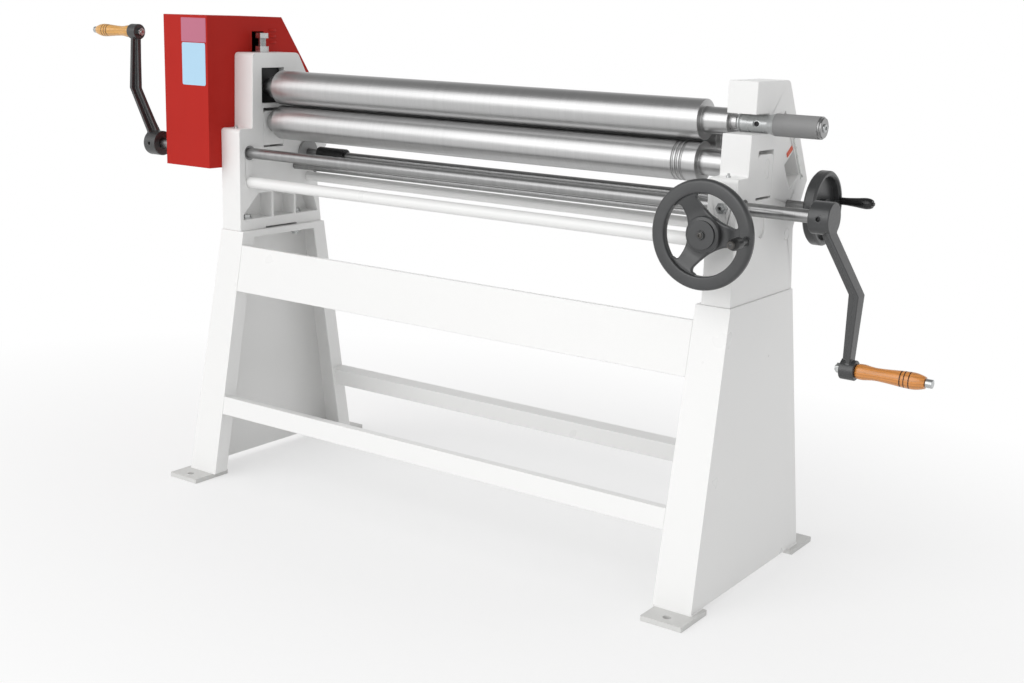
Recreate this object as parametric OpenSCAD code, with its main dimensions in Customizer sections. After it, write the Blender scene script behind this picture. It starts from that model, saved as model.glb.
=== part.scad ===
/* [Rolls] */
// Diameter of the three rolls
roll_d = 90; // [84:1:94]
// Working length of the roll faces
roll_face = 1270; // [1000:10:1400]
// Gap between the upper and the lower roll at rest
roll_gap = 1.5; // [1:0.1:3]
// Diameter of the necks at the roll ends
neck_d = 58; // [50:1:64]
// Diameter of the bearing journals
journal_d = 40; // [34:1:42]
// Diameter of the upper roll's stub inside the release sleeve
stub_d = 24; // [18:1:28]
// Distance from the left roll end to the left housing
left_gap = 35; // [30:1:50]
// Distance from the right roll end to the right housing
right_gap = 79; // [60:1:100]
// Number of wire grooves at the right end of the lower rolls
groove_count = 3; // [1:1:5]
// Diameter of the wire that a groove takes
groove_d = 5; // [2:0.5:6]

/* [Stand] */
// Height of the legs between the foot plates and the housings
leg_h = 652; // [500:2:760]
// Width of a leg, along the machine
leg_w = 95; // [90:1:120]
// Depth of a leg at its top
leg_top_depth = 316; // [310:2:360]
// Depth of a leg at its foot
leg_foot_depth = 550; // [460:2:620]
// Thickness of the leg's bent sheet
sheet_t = 5; // [3:0.5:7]
// Width of the lips that turn in along the leg's open side
lip_w = 44; // [30:1:60]
// Thickness of the plate that closes the leg's top
leg_top_t = 14; // [10:1:20]
// Length of a foot plate, front to back
foot_l = 117; // [105:1:140]
// Width of a foot plate
foot_w = 100; // [90:1:120]
// Thickness of a foot plate
foot_t = 12; // [8:1:16]
// Distance that a foot plate reaches beyond the leg
foot_reach = 64; // [55:1:80]
// Diameter of the floor anchor holes
anchor_d = 18; // [12:1:22]
// Distance from an anchor hole to the foot plate's outer edge
anchor_edge = 29; // [18:1:34]
// Height of the front upper beam
upper_beam_h = 124; // [80:2:150]
// Distance from the leg's top to the front upper beam
upper_beam_drop = 34; // [25:1:60]
// Height of the lower beams
lower_beam_h = 48; // [36:1:60]
// Height of the lower beams' middle above the floor
lower_beam_z = 200; // [120:2:300]
// Depth of the beams, front to back
beam_depth = 38; // [30:1:44]
// Wall of the beams
beam_wall = 4; // [2:0.5:6]

/* [Housings] */
// Thickness of a roll housing
housing_t = 68; // [66:1:80]
// Height of a housing above the upper roll's axis
head_h = 90; // [84:1:120]
// Height of the upper roll's axis above the leg
upper_axis_h = 380; // [360:1:420]
// Distance of the upper and lower roll axes in front of the stand's middle
roll_axis_front = 29; // [20:1:36]
// Distance of the housing's lower front face in front of the stand's middle
housing_front = 156; // [150:1:158]
// Distance of the housing's upper front face in front of the stand's middle
neck_front = 108; // [100:1:116]
// Distance of the housing's front shoulder below the upper roll's axis
shoulder_drop = 108; // [92:1:118]
// Extra set-back of the right housing above its journal slot
cap_setback = 16; // [4:1:22]
// Thickness of the housing's foot flange
foot_flange_t = 30; // [24:1:40]
// Depth of the cast pockets above the foot flange
pocket_depth = 44; // [30:1:50]
// Diameter of the bolts that hold a housing to its leg
bolt_d = 16; // [12:1:20]

/* [Lower roll setting] */
// Width of the lower roll's bearing blocks
block_w = 74; // [66:1:80]
// Depth of a lower bearing block below the roll axis
block_below = 63; // [60:1:70]
// Distance that the lower roll can be let down
lower_travel = 5; // [2:0.5:6]
// Diameter of the jack screws
jack_d = 24; // [18:1:26]
// Thickness of the shelf that carries a jack screw's collar
shelf_t = 18; // [12:1:24]
// Diameter of the setting shafts
setting_d = 18; // [14:1:20]
// Distance of the setting cross shaft behind the stand's middle
setting_back = 55; // [50:1:58]
// Pitch radius of the setting mitre gears at their wide end
mitre_r = 24; // [20:0.5:25]
// Diameter of the front handwheel
front_wheel_d = 230; // [180:2:260]
// Distance of the front handwheel's rim in front of the housing
front_wheel_reach = 84; // [70:1:110]

/* [Rear roll setting] */
// Distance of the rear roll's axis behind the stand's middle
rear_axis_back = 68; // [66:1:72]
// Distance of the rear roll's axis below the upper roll's axis
rear_axis_drop = 44; // [38:1:50]
// Slope of the rear roll's slide from the level
slide_angle = 57; // [54:1:60]
// Width of the rear roll's bearing blocks
rear_block_w = 54; // [50:1:56]
// Length of the rear roll's bearing blocks along their slide
rear_block_l = 90; // [80:1:94]
// Distance that the rear roll can be raised from rest
rear_up = 12; // [6:1:14]
// Distance that the rear roll can be let down from rest
rear_down = 55; // [30:1:60]
// Diameter of the rear lifting screws
lift_d = 20; // [16:1:22]
// Distance from the rear roll's axis down its slide to the lift nut
lift_nut_down = 133.7; // [126:0.1:142]
// Distance from a lifting screw across to the rear setting shaft
lift_gear_dist = 47.5; // [42:0.5:52]
// Diameter of the rear setting shaft
rear_shaft_d = 20; // [16:1:24]
// Diameter of the side handwheel
side_wheel_d = 164; // [130:2:180]
// Distance of the side handwheel's rim from the right housing
side_wheel_reach = 82; // [70:1:100]

/* [Drive] */
// Distance of the crank shaft in front of the stand's middle
crank_front = 118; // [116:1:121]
// Height of the crank shaft above the handwheel shaft
crank_rise = 45; // [42:1:50]
// Diameter of the crank shaft
crank_d = 28; // [22:1:32]
// Distance from the crank shaft to a grip's middle
crank_r = 303; // [200:1:340]
// Distance from the crank shaft to the bend of a crank arm
crank_bend = 148; // [100:1:160]
// Outward offset of a crank grip's boss from the crank hub
crank_offset = 80; // [50:1:100]
// Distance from the right housing to the right crank's hub
right_crank_reach = 177; // [165:1:220]
// Distance from the gear cover to the left crank's hub
left_crank_reach = 129; // [110:1:160]
// Length of a wooden grip
grip_l = 142; // [100:1:170]
// Teeth of the drive pinion
pinion_teeth = 12; // [11:1:13]
// Teeth of the large drive gear
gear_teeth = 60; // [57:1:64]
// Width of the drive gears
gear_w = 26; // [18:1:30]
// Teeth of the gears that join the upper and lower rolls
roll_gear_teeth = 16; // [14:1:18]
// Width of the roll gears
roll_gear_w = 30; // [20:1:34]

/* [Gear cover] */
// Width of the gear cover, along the machine
cover_w = 166; // [160:1:190]
// Distance of the cover's front in front of the stand's middle
cover_front = 200; // [199:1:210]
// Distance of the cover's back behind the stand's middle
cover_back = 196; // [180:1:210]
// Distance of the cover's bottom below the upper roll's axis
cover_drop = 214; // [212:1:230]
// Height of the cover's top above the upper roll's axis
cover_rise = 183; // [174:1:200]
// Thickness of the cover's sheet
cover_t = 2; // [1.5:0.5:3]

/* [Tie rods] */
// Diameter of the front tie rod
front_tie_d = 30; // [20:1:34]
// Diameter of the rear tie rod
rear_tie_d = 26; // [20:1:30]
// Distance of the tie rods below the handwheel shaft
tie_drop = 33; // [29:1:40]
// Distance of the rear tie rod behind the stand's middle
rear_tie_back = 108; // [102:1:114]

/* [Clearances] */
// Radial clearance of a turning shaft in its bore
run_gap = 0.05; // [0.02:0.01:0.1]
// Clearance of a block in its slide, each side
slide_gap = 0.25; // [0.1:0.05:0.4]
// Clearance of a fixed rod or bolt in its hole, on the radius
bolt_gap = 0.2; // [0.1:0.05:0.5]
// Gap between a beam's end and the leg that it is welded to
weld_gap = 0.05; // [0.02:0.01:0.1]

/* [Hidden] */
$fn = 64;
over = 1;
base_z = foot_t + leg_h;
half_span = (roll_face + left_gap + right_gap) / 2;
housing_x = half_span;
housing_out = half_span + housing_t;
housing_mid = half_span + housing_t / 2;
roll_left = -half_span + left_gap;
roll_right = half_span - right_gap;

roll_y = -roll_axis_front;
upper_z = base_z + upper_axis_h;
lower_z = upper_z - roll_d - roll_gap;
head_z = upper_z + head_h;
shoulder_z = upper_z - shoulder_drop;
neck_end = 4;
upper_neck_end = 16;

leg_in = half_span - 12;
leg_out = leg_in + leg_w;
leg_lean = max(0, leg_out - housing_out - 3);
leg_slope = (leg_foot_depth - leg_top_depth) / 2 / leg_h;
leg_angle = atan(leg_slope);
foot_x = leg_in + leg_w / 2 + 9;
foot_y = leg_foot_depth / 2 + foot_reach - foot_l / 2;
anchor_y = leg_foot_depth / 2 + foot_reach - anchor_edge;

bolt_x = half_span + pocket_depth / 2;
bolt_front_y = -housing_front + 42;
bolt_rear_y = 75;
bolt_head_h = 10;

slide_dir = [0, cos(slide_angle), -sin(slide_angle)];
slide_across = [0, sin(slide_angle), cos(slide_angle)];
rear_y = rear_axis_back;
rear_z = upper_z - rear_axis_drop;
rear_slot_end = rear_block_l / 2 + rear_down + 9;
rear_recess = 3;
rear_shaft_y = rear_y + lift_nut_down * slide_dir[1] - lift_gear_dist * slide_across[1];
rear_shaft_z = rear_z + lift_nut_down * slide_dir[2] - lift_gear_dist * slide_across[2];
screw_gear_gap = 0.8;
screw_gear_r = (lift_gear_dist - screw_gear_gap) / 2;
screw_gear_w = 24;
screw_gear_room = 2.5;
lift_l = lift_nut_down + screw_gear_w / 2 + rear_up + 8;

block_bottom = lower_z - block_below;
block_top = lower_z + journal_d / 2 + 8;
slot_room = 8.5;
slot_floor = block_bottom - lower_travel - 0.5;
cavity_top = slot_floor - shelf_t;
setting_z = cavity_top - mitre_r - 15;
setting_x = housing_mid + 2;
crank_y = -crank_front;
crank_z = setting_z + crank_rise;
tie_z = setting_z - tie_drop;
tie_front_y = crank_y;
mitre_gap = 0.5;
mitre_in = mitre_r / 2;
cavity_in = setting_x - mitre_r - over;
cavity_out = setting_x + mitre_r + over;
block_inset = 0.5;
lower_bore_end = housing_out - 4.5;
jack_collar_h = 4;
jack_top = lower_z - journal_d / 2 - lower_travel - 5;

pivot_x = -housing_mid - 6;
pivot_block_t = 48;
pivot_block_w = 76;
pivot_block_h = 85;
pivot_block_rise = 8;
pivot_bolt_d = 20;
swing_room = 8.6;
window_w = 84;
boss_d = 110;
boss_l = 46;
pocket_end = -housing_out + 3;
drive_shaft_d = 36;
dog_d = journal_d;
dog_room = dog_d + 14;
dog_l = 16;
dog_in = pivot_x + 3.6;
tang_t = 12;
tang_w = journal_d - 4;
tang_l = 14;
tang_play = 1.3;
journal_end = pivot_x + tang_l / 2;
bearing_start = journal_end + 1;
pivot_bolt_low = upper_z + dog_room / 2 + 5;
gear_x = -housing_out - boss_l - 9;

gear_dist = sqrt(pow(roll_y - crank_y, 2) + pow(upper_z - crank_z, 2));
gear_module = 2 * gear_dist / (gear_teeth + pinion_teeth);
mesh_angle = atan2(crank_z - upper_z, crank_y - roll_y);
roll_gear_module = roll_d / roll_gear_teeth;
big_gear_x = gear_x - roll_gear_w - 5;

sleeve_d = journal_d - 2;
seat_gap = 0.1;
slot_drop = 0.6;
slot_high = 22;
sleeve_in = half_span + 2;
sleeve_out = housing_out + 2;
flare_l = 16;
handle_d = 48;
handle_l = 100;
handle_cap_l = 8;

cover_left = -housing_out - cover_w;
cover_bend_y = 74;
cover_bend_z = upper_z + 16;
cover_low_z = upper_z - cover_drop;
cover_top_z = upper_z + cover_rise;

hub_l = 45;
hub_d = 68;
right_hub_x = housing_out + right_crank_reach;
left_hub_x = cover_left - left_crank_reach;
boss_len = 32;
grip_boss_d = 42;
grip_pin_d = 12;
grip_gap = 1;

wheel_y = -housing_front - front_wheel_reach;
wheel_rim_d = 24;
knob_angle = 0;
wheel_hub_front = 3;
wheel_hub_back = 28;
knob_r = front_wheel_d / 2 - wheel_rim_d / 2;
knob_x = setting_x + knob_r * cos(knob_angle);
knob_z = setting_z + knob_r * sin(knob_angle);
side_wheel_x = housing_out + side_wheel_reach;
side_rim_w = 26;
side_rim_t = 13;
side_handle_r = side_wheel_d / 2 - side_rim_t;
side_handle_angle = 9;
side_handle_y = rear_shaft_y + side_handle_r * cos(side_handle_angle);
side_handle_z = rear_shaft_z + side_handle_r * sin(side_handle_angle);

white = [0.93, 0.93, 0.92];
steel = [0.72, 0.73, 0.74];
dark_iron = [0.3, 0.31, 0.31];
cover_red = [0.7, 0.13, 0.11];
black = [0.06, 0.06, 0.06];
bronze = [0.72, 0.53, 0.28];
zinc = [0.66, 0.67, 0.66];
wood = [0.82, 0.52, 0.24];
grip_grey = [0.55, 0.55, 0.55];
plate_grey = [0.5, 0.5, 0.5];
block_grey = [0.8, 0.81, 0.8];
scale_metal = [0.85, 0.86, 0.84];
pointer_red = [0.85, 0.28, 0.12];

module along_x(x0, x1, y, z, d) {
    translate([x0, y, z]) rotate([0, 90, 0]) cylinder(h = x1 - x0, d = d);
}

module along_y(y0, y1, x, z, d) {
    translate([x, y0, z]) rotate([-90, 0, 0]) cylinder(h = y1 - y0, d = d);
}

module along_z(z0, z1, x, y, d) {
    translate([x, y, z0]) cylinder(h = z1 - z0, d = d);
}

// Extrudes a shape drawn in front-to-back and height coordinates along the machine
module slab_x(x0, x1) {
    translate([x0, 0, 0]) rotate([90, 0, 90]) linear_extrude(x1 - x0) children();
}

module mirrored(side) {
    mirror([side < 0 ? 1 : 0, 0, 0]) children();
}

// Puts children drawn along +Z onto the rear slide, at a distance down from the rear roll's axis
module on_slide(x, down) {
    translate([x, rear_y, rear_z] + down * slide_dir) rotate([-slide_angle - 90, 0, 0]) children();
}

module hexagon(width, h) {
    cylinder(h = h, d = width / cos(30), $fn = 6);
}

// Points of a polygon with each corner turned into an arc of its own radius
function unit(v) = v / norm(v);
function arc_corner(a, b, c, r, n = 6) =
    let (u = unit(a - b), v = unit(c - b))
    let (half = acos(max(-1, min(1, u * v))) / 2)
    let (m = b + unit(u + v) * r / sin(half))
    let (s = b + u * r / tan(half) - m)
    let (e = b + v * r / tan(half) - m)
    let (a0 = atan2(s[1], s[0]), turn = atan2(s[0] * e[1] - s[1] * e[0], s * e))
    [for (i = [0:n]) m + r * [cos(a0 + turn * i / n), sin(a0 + turn * i / n)]];
function rounded(p, r) =
    [for (i = [0:len(p) - 1])
        each r[i] == 0 ? [p[i]]
            : arc_corner(p[(i + len(p) - 1) % len(p)], p[i], p[(i + 1) % len(p)], r[i])];

// Outline of a spur gear with straight flanks, one tooth centred on angle zero
function gear_points(teeth, m, addendum, dedendum) =
    let (step = 360 / teeth, rp = teeth * m / 2)
    [for (i = [0:teeth - 1], q = [[-0.30, -dedendum], [-0.225, 0], [-0.105, addendum],
                                  [0.105, addendum], [0.225, 0], [0.30, -dedendum]])
        (rp + q[1] * m) * [cos(step * (i + q[0])), sin(step * (i + q[0]))]];

module spur_gear(teeth, m, addendum, dedendum) {
    polygon(gear_points(teeth, m, addendum, dedendum));
}

// Stand

leg_outline = [
    [-leg_foot_depth / 2, foot_t], [-leg_top_depth / 2, base_z],
    [leg_top_depth / 2, base_z], [leg_foot_depth / 2, foot_t]
];

function leg_half(z) = leg_top_depth / 2 + (base_z - z) * leg_slope;

module leg_section(inset, top, bottom) {
    polygon([
        [-leg_half(bottom) + inset, bottom], [-leg_half(top) + inset, top],
        [leg_half(top) - inset, top], [leg_half(bottom) - inset, bottom]
    ]);
}

// Room between the leg's upright inner face and its outer face, which leans in to the housing
module leg_width(inset, top, bottom) {
    edge = [for (z = [bottom, top]) leg_out - inset - leg_lean * (z - foot_t) / leg_h];
    translate([0, leg_foot_depth, 0]) rotate([90, 0, 0]) linear_extrude(2 * leg_foot_depth)
        polygon([[leg_in + inset, bottom], [leg_in + inset, top], [edge[1], top], [edge[0], bottom]]);
}

module leg() {
    inside_top = base_z - leg_top_t;
    low = foot_t - over;
    difference() {
        intersection() {
            slab_x(leg_in, leg_out) polygon(leg_outline);
            leg_width(0, base_z, foot_t);
        }
        intersection() {
            slab_x(leg_in, leg_out) leg_section(sheet_t, inside_top, low);
            leg_width(sheet_t, inside_top, low);
        }
        slab_x(leg_in - over, leg_in + 2 * sheet_t) leg_section(lip_w, inside_top - 4, low);
        for (y = [bolt_front_y, bolt_rear_y])
            along_z(inside_top - over, base_z + over, bolt_x, y, bolt_d + 2 * bolt_gap);
    }
}

module left_leg() {
    color(white) mirrored(-1) leg();
}

module right_leg() {
    color(white) leg();
}

module foot_plates() {
    color(white) for (sx = [-1, 1], sy = [-1, 1])
        difference() {
            translate([sx * foot_x, sy * foot_y, foot_t / 2]) cube([foot_w, foot_l, foot_t], center = true);
            along_z(-over, foot_t + over, sx * foot_x, sy * anchor_y, anchor_d);
        }
}

// Square tube between the legs, its face flush with the legs' sloping front or back
module beam(face, top, h) {
    mid = top - h / 2;
    l = 2 * (leg_in - weld_gap);
    translate([-l / 2, face * leg_half(mid), mid]) rotate([face * leg_angle, 0, 0])
        translate([0, face > 0 ? -beam_depth : 0, -h / 2]) difference() {
            cube([l, beam_depth, h]);
            translate([-over, beam_wall, beam_wall])
                cube([l + 2 * over, beam_depth - 2 * beam_wall, h - 2 * beam_wall]);
        }
}

module front_upper_beam() {
    color(white) beam(-1, base_z - upper_beam_drop, upper_beam_h);
}

module front_lower_beam() {
    color(white) beam(-1, lower_beam_z + lower_beam_h / 2, lower_beam_h);
}

module rear_lower_beam() {
    color(white) beam(1, lower_beam_z + lower_beam_h / 2, lower_beam_h);
}

// Housings

rear_top = [rear_y, head_z];
rear_corner = [rear_y + 132, rear_z - 90];
rear_waist = [rear_y + 72, rear_z - 195];

housing_outline = rounded(
    [
        [-housing_front, base_z], [-housing_front, shoulder_z],
        [-neck_front, shoulder_z], [-neck_front + 4, head_z],
        rear_top, rear_corner, rear_waist, [leg_top_depth / 2, base_z]
    ],
    [0, 9, 5, 12, 18, 16, 20, 0]
);

// Upright outline of a bearing block or its slot, with two rounded top corners
module upright_block(w, low, top, corner) {
    half = w / 2;
    translate([roll_y, 0]) polygon(rounded(
        [[-half, low], [-half, top], [half, top], [half, low]],
        [0, corner, corner, 0]
    ));
}

// Cast pockets above the foot flange, with two ribs between them
module foot_pockets() {
    low = base_z + foot_flange_t;
    rib = 8;
    front = -housing_front + 13;
    front_rib = -38;
    rear_rib = 49;
    back = leg_top_depth / 2 - 14;
    front_top = base_z + 98;
    rear_top = base_z + 83;
    polygon([
        [front, low], [front, low + 14], [front + 57, front_top], [front_rib, front_top], [front_rib, low]
    ]);
    polygon([[front_rib + rib, low], [front_rib + rib, front_top], [rear_rib, rear_top], [rear_rib, low]]);
    polygon([[rear_rib + rib, low], [rear_rib + rib, rear_top], [back - 16, rear_top - 11], [back, low]]);
}

module housing_foot() {
    relief_h = 4;
    relief_l = 120;
    difference() {
        children();
        translate([housing_x - over, -relief_l / 2, base_z - over])
            cube([pocket_depth + over, relief_l, relief_h + over]);
        slab_x(housing_x - over, housing_x + pocket_depth) foot_pockets();
        for (y = [bolt_front_y, bolt_rear_y])
            along_z(base_z - over, base_z + foot_flange_t + over, bolt_x, y, bolt_d + 2 * bolt_gap);
    }
}

// Room inside the housing for the lower roll's jack screw and mitre gears
module jack_room() {
    room = mitre_r + 2;
    translate([cavity_in, roll_y - room - 13, setting_z - room])
        cube([
            cavity_out - cavity_in, setting_back - roll_y + 2 * room + 13, cavity_top - setting_z + room
        ]);
    along_z(cavity_top - over, slot_floor + over, setting_x, roll_y, jack_d + 2 * run_gap);
    along_y(roll_y - room - 60, roll_y, setting_x, setting_z, setting_d + 2 * run_gap);
    along_x(housing_x - over, setting_x, setting_back, setting_z, setting_d + 2 * run_gap);
}

// Room inside the housing for the rear roll's lifting screw and its gears
module lift_room() {
    room_d = 2 * (screw_gear_r + screw_gear_room);
    room_end = housing_mid + screw_gear_w / 2 + screw_gear_room;
    along_x(housing_x - over, room_end, rear_shaft_y, rear_shaft_z, room_d);
    on_slide(housing_mid, lift_nut_down - screw_gear_w / 2 - slide_gap)
        cylinder(h = screw_gear_w + 2 * slide_gap, d = room_d);
    on_slide(housing_mid, 0) cylinder(h = rear_slot_end + 160, d = lift_d + 2 * slide_gap);
}

module rear_slot() {
    slot_start = -rear_block_l / 2 - rear_up - 8;
    slot_w = rear_block_w + 2 * slide_gap;
    on_slide(housing_mid, slot_start) translate([-housing_t / 2 - over, -slot_w / 2, 0])
        cube([housing_t + 2 * over, slot_w, rear_slot_end - slot_start]);
}

module through_housing(y, z, d) {
    along_x(housing_x - over, housing_out + over, y, z, d);
}

module housing() {
    difference() {
        housing_foot() slab_x(housing_x, housing_out) polygon(housing_outline);
        slab_x(housing_x - over, housing_out + over)
            upright_block(block_w + 2 * slide_gap, slot_floor, block_top + slot_room, 4);
        rear_slot();
        jack_room();
        lift_room();
        through_housing(crank_y, crank_z, bush_d + 2 * bolt_gap);
        through_housing(tie_front_y, tie_z, front_tie_d + 2 * bolt_gap);
        through_housing(rear_tie_back, tie_z, rear_tie_d + 2 * bolt_gap);
        through_housing(rear_shaft_y, rear_shaft_z, rear_shaft_d + 2 * run_gap);
    }
}

bush_wall = 5;
bush_d = crank_d + 2 * bush_wall;

module left_housing() {
    color(white) difference() {
        union() {
            mirrored(-1) housing();
            along_x(-housing_out - boss_l, pocket_end, roll_y, upper_z, boss_d);
        }
        translate([pocket_end, roll_y - window_w / 2, upper_z - pivot_block_h / 2 - slide_gap])
            cube([-housing_x - pocket_end + over, window_w, pivot_block_h + pivot_block_rise + 2 * slide_gap]);
        along_x(-housing_out - dog_l - over, pocket_end + over, roll_y, upper_z, dog_room + 4);
        along_x(-housing_out - boss_l - over, -housing_out, roll_y, upper_z, drive_bush_d + 2 * bolt_gap);
        along_z(upper_z, head_z + over, pivot_x, roll_y, pivot_bolt_d + 2 * bolt_gap);
    }
}

module right_housing() {
    window_d = 34;
    window_h = 50;
    window_z = setting_z - 2;
    color(white) difference() {
        housing();
        slab_x(housing_x - over, housing_out + over) {
            translate([roll_y, upper_z]) circle(d = sleeve_d + 2 * seat_gap);
            translate([-housing_front, upper_z - sleeve_d / 2 - slot_drop])
                square([housing_front + roll_y, sleeve_d / 2 + slot_drop + slot_high]);
            translate([-housing_front, upper_z + slot_high])
                square([housing_front - neck_front + cap_setback, head_h]);
        }
        slab_x(cavity_out - over, housing_out + over) for (s = [-1, 1]) {
            translate([roll_y + 2, window_z + s * (window_h - window_d) / 2]) circle(d = window_d);
            translate([roll_y + 2 - window_d / 2, window_z - (window_h - window_d) / 2])
                square([window_d, window_h - window_d]);
        }
        along_y(-housing_front - over, roll_y, setting_x, setting_z, setting_d + 2 * run_gap);
        along_y(-housing_front - over, clamp_end, setting_x, clamp_z, clamp_d + 2 * bolt_gap);
    }
}

module housing_bolts() {
    nut_h = 13;
    nut_low = base_z - leg_top_t - nut_h;
    color(zinc) for (sx = [-1, 1], y = [bolt_front_y, bolt_rear_y]) {
        translate([sx * bolt_x, y, base_z + foot_flange_t]) hexagon(1.5 * bolt_d, bolt_head_h);
        along_z(nut_low - 5, base_z + foot_flange_t + over, sx * bolt_x, y, bolt_d);
        translate([sx * bolt_x, y, nut_low]) hexagon(1.5 * bolt_d, nut_h);
    }
}

module front_tie_rod() {
    color(white) along_x(-housing_out, housing_out, tie_front_y, tie_z, front_tie_d);
}

module rear_tie_rod() {
    color(white) along_x(-housing_out, housing_out, rear_tie_back, tie_z, rear_tie_d);
}

// Gear cover

cover_outline = [
    [-cover_front, cover_low_z], [-cover_front, cover_top_z],
    [cover_bend_y, cover_top_z], [cover_back, cover_bend_z],
    [cover_back, cover_low_z]
];

// The outline moved in by a wall, side by side
cover_slope = atan2(cover_top_z - cover_bend_z, cover_back - cover_bend_y);
function cover_inset(t) =
    let (slant = t * tan((90 - cover_slope) / 2), top = t * tan(cover_slope / 2))
    [
        [-cover_front + t, cover_low_z + t], [-cover_front + t, cover_top_z - t],
        [cover_bend_y - top, cover_top_z - t], [cover_back - t, cover_bend_z - slant],
        [cover_back - t, cover_low_z + t]
    ];

module gear_cover() {
    inner_x = -housing_out - cover_t;
    notch_w = 44;
    notch_h = 54;
    louvre_l = 25;
    color(cover_red) difference() {
        slab_x(cover_left, -housing_out) polygon(cover_outline);
        slab_x(cover_left + cover_t, inner_x) polygon(cover_inset(cover_t));
        slab_x(inner_x - over, -housing_out + over) polygon([
            [-housing_front + 14, cover_low_z + 12], [-housing_front + 14, shoulder_z - 14],
            [-neck_front + 16, shoulder_z + 4], [-neck_front + 16, head_z - 16],
            [24, head_z - 16], [rear_corner[0] - 26, rear_corner[1]],
            [rear_waist[0] - 12, cover_low_z + 12]
        ]);
        translate([inner_x - over, roll_y - notch_w / 2 + 12, head_z])
            cube([cover_t + 2 * over, notch_w, notch_h]);
        along_x(cover_left - over, cover_left + cover_t + over, crank_y, crank_z, bush_d + 2 * bolt_gap);
        for (i = [0:2])
            translate([inner_x - over, louvre_l, head_z + louvre_l + 16 * i])
                cube([cover_t + 2 * over, louvre_l, 3]);
    }
}

cover_screw_d = 8;
cover_screw_spots = [
    [-housing_front + 7, cover_low_z + 20], [-housing_front + 7, shoulder_z - 24],
    [-20, head_z - 8], [rear_corner[0] - 19, rear_corner[1] + 2]
];

module cover_screws() {
    color(zinc) for (p = cover_screw_spots)
        along_x(-housing_out - cover_t - 5, -housing_out - cover_t, p[0], p[1], 1.6 * cover_screw_d);
}

module shaft_bushes() {
    color(bronze) difference() {
        union() {
            for (side = [-1, 1]) mirrored(side)
                along_x(housing_x, housing_out, crank_y, crank_z, bush_d);
            along_x(cover_left - 6, cover_left + 24, crank_y, crank_z, bush_d);
            along_x(cover_left - 6, cover_left, crank_y, crank_z, bush_d + 16);
        }
        along_x(cover_left - 10, housing_out + 10, crank_y, crank_z, crank_d + 2 * run_gap);
    }
}

drive_bush_wall = 7;
drive_bush_d = drive_shaft_d + 2 * drive_bush_wall;

module drive_bush() {
    color(bronze) difference() {
        union() {
            along_x(-housing_out - boss_l, -housing_out - dog_l - over, roll_y, upper_z, drive_bush_d);
            along_x(-housing_out - boss_l - 5, -housing_out - boss_l, roll_y, upper_z, drive_bush_d + 14);
        }
        along_x(-housing_out - boss_l - 10, -housing_out, roll_y, upper_z, drive_shaft_d + 2 * run_gap);
    }
}

module pivot_bolt() {
    top = head_z;
    shank_h = 40;
    color(zinc) {
        along_z(pivot_bolt_low, top + shank_h, pivot_x, roll_y, pivot_bolt_d);
        translate([pivot_x, roll_y, top + shank_h - 3]) hexagon(30, 14);
    }
}

module pivot_lock_nut() {
    top = head_z;
    nut_h = 16;
    color(zinc) difference() {
        translate([pivot_x, roll_y, top]) hexagon(2 * nut_h, nut_h);
        along_z(top - over, top + nut_h + over, pivot_x, roll_y, pivot_bolt_d + 2 * bolt_gap);
    }
}

clamp_d = 12;
clamp_end = -housing_front + 16;
clamp_z = crank_z + 2;

module clamp_screw() {
    front = -housing_front;
    color(zinc) difference() {
        union() {
            along_y(front - 15, clamp_end - 2, setting_x, clamp_z, clamp_d);
            translate([setting_x, front, clamp_z]) rotate([90, 0, 0]) hexagon(22, 10);
        }
        translate([setting_x, front - 9, clamp_z]) rotate([90, 0, 0]) hexagon(6, 10);
    }
}

module oil_nipples() {
    nipple_y = -(housing_front + neck_front) / 2 - 2;
    color(zinc) for (side = [-1, 1]) {
        along_z(shoulder_z, shoulder_z + 4, side * housing_mid, nipple_y, 10);
        along_z(shoulder_z + 3, shoulder_z + 9, side * housing_mid, nipple_y, 6);
    }
}

scale_across = rear_block_w / 2 + 11;
scale_start = 10;
scale_len = 114;
scale_w = 13;
scale_t = 1.2;

module position_scale() {
    color(scale_metal) on_slide(housing_out, scale_start)
        translate([0, -scale_across - scale_w / 2, 0]) cube([scale_t, scale_w, scale_len]);
}

// Plates that close the rear gear rooms on the housings' inner faces
module gearing_covers() {
    plate_x = housing_x - 9;
    hole_end = housing_x + over;
    plate_d = 2 * (screw_gear_r + screw_gear_room) + 18;
    color(plate_grey) for (side = [-1, 1]) mirrored(side) difference() {
        along_x(plate_x, housing_x, rear_shaft_y, rear_shaft_z, plate_d);
        along_x(plate_x - over, hole_end, rear_shaft_y, rear_shaft_z, rear_shaft_d + 2 * run_gap);
        along_x(plate_x - over, hole_end, setting_back, setting_z, setting_d + 12);
        along_x(plate_x - over, hole_end, rear_tie_back, tie_z, rear_tie_d + 8);
    }
}

// Cranks

module crank_shaft() {
    into_hub = hub_l / 2 - 4;
    color(steel) along_x(left_hub_x - into_hub, right_hub_x + into_hub, crank_y, crank_z, crank_d);
}

module drive_pinion() {
    pinion_x = big_gear_x - gear_w - 3;
    color(steel) difference() {
        slab_x(pinion_x, big_gear_x + 3) translate([crank_y, crank_z])
            rotate(mesh_angle + 180) spur_gear(pinion_teeth, gear_module, 0.8, 1.05);
        along_x(pinion_x - over, big_gear_x + 3 + over, crank_y, crank_z, crank_d + 2 * run_gap);
    }
}

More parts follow.
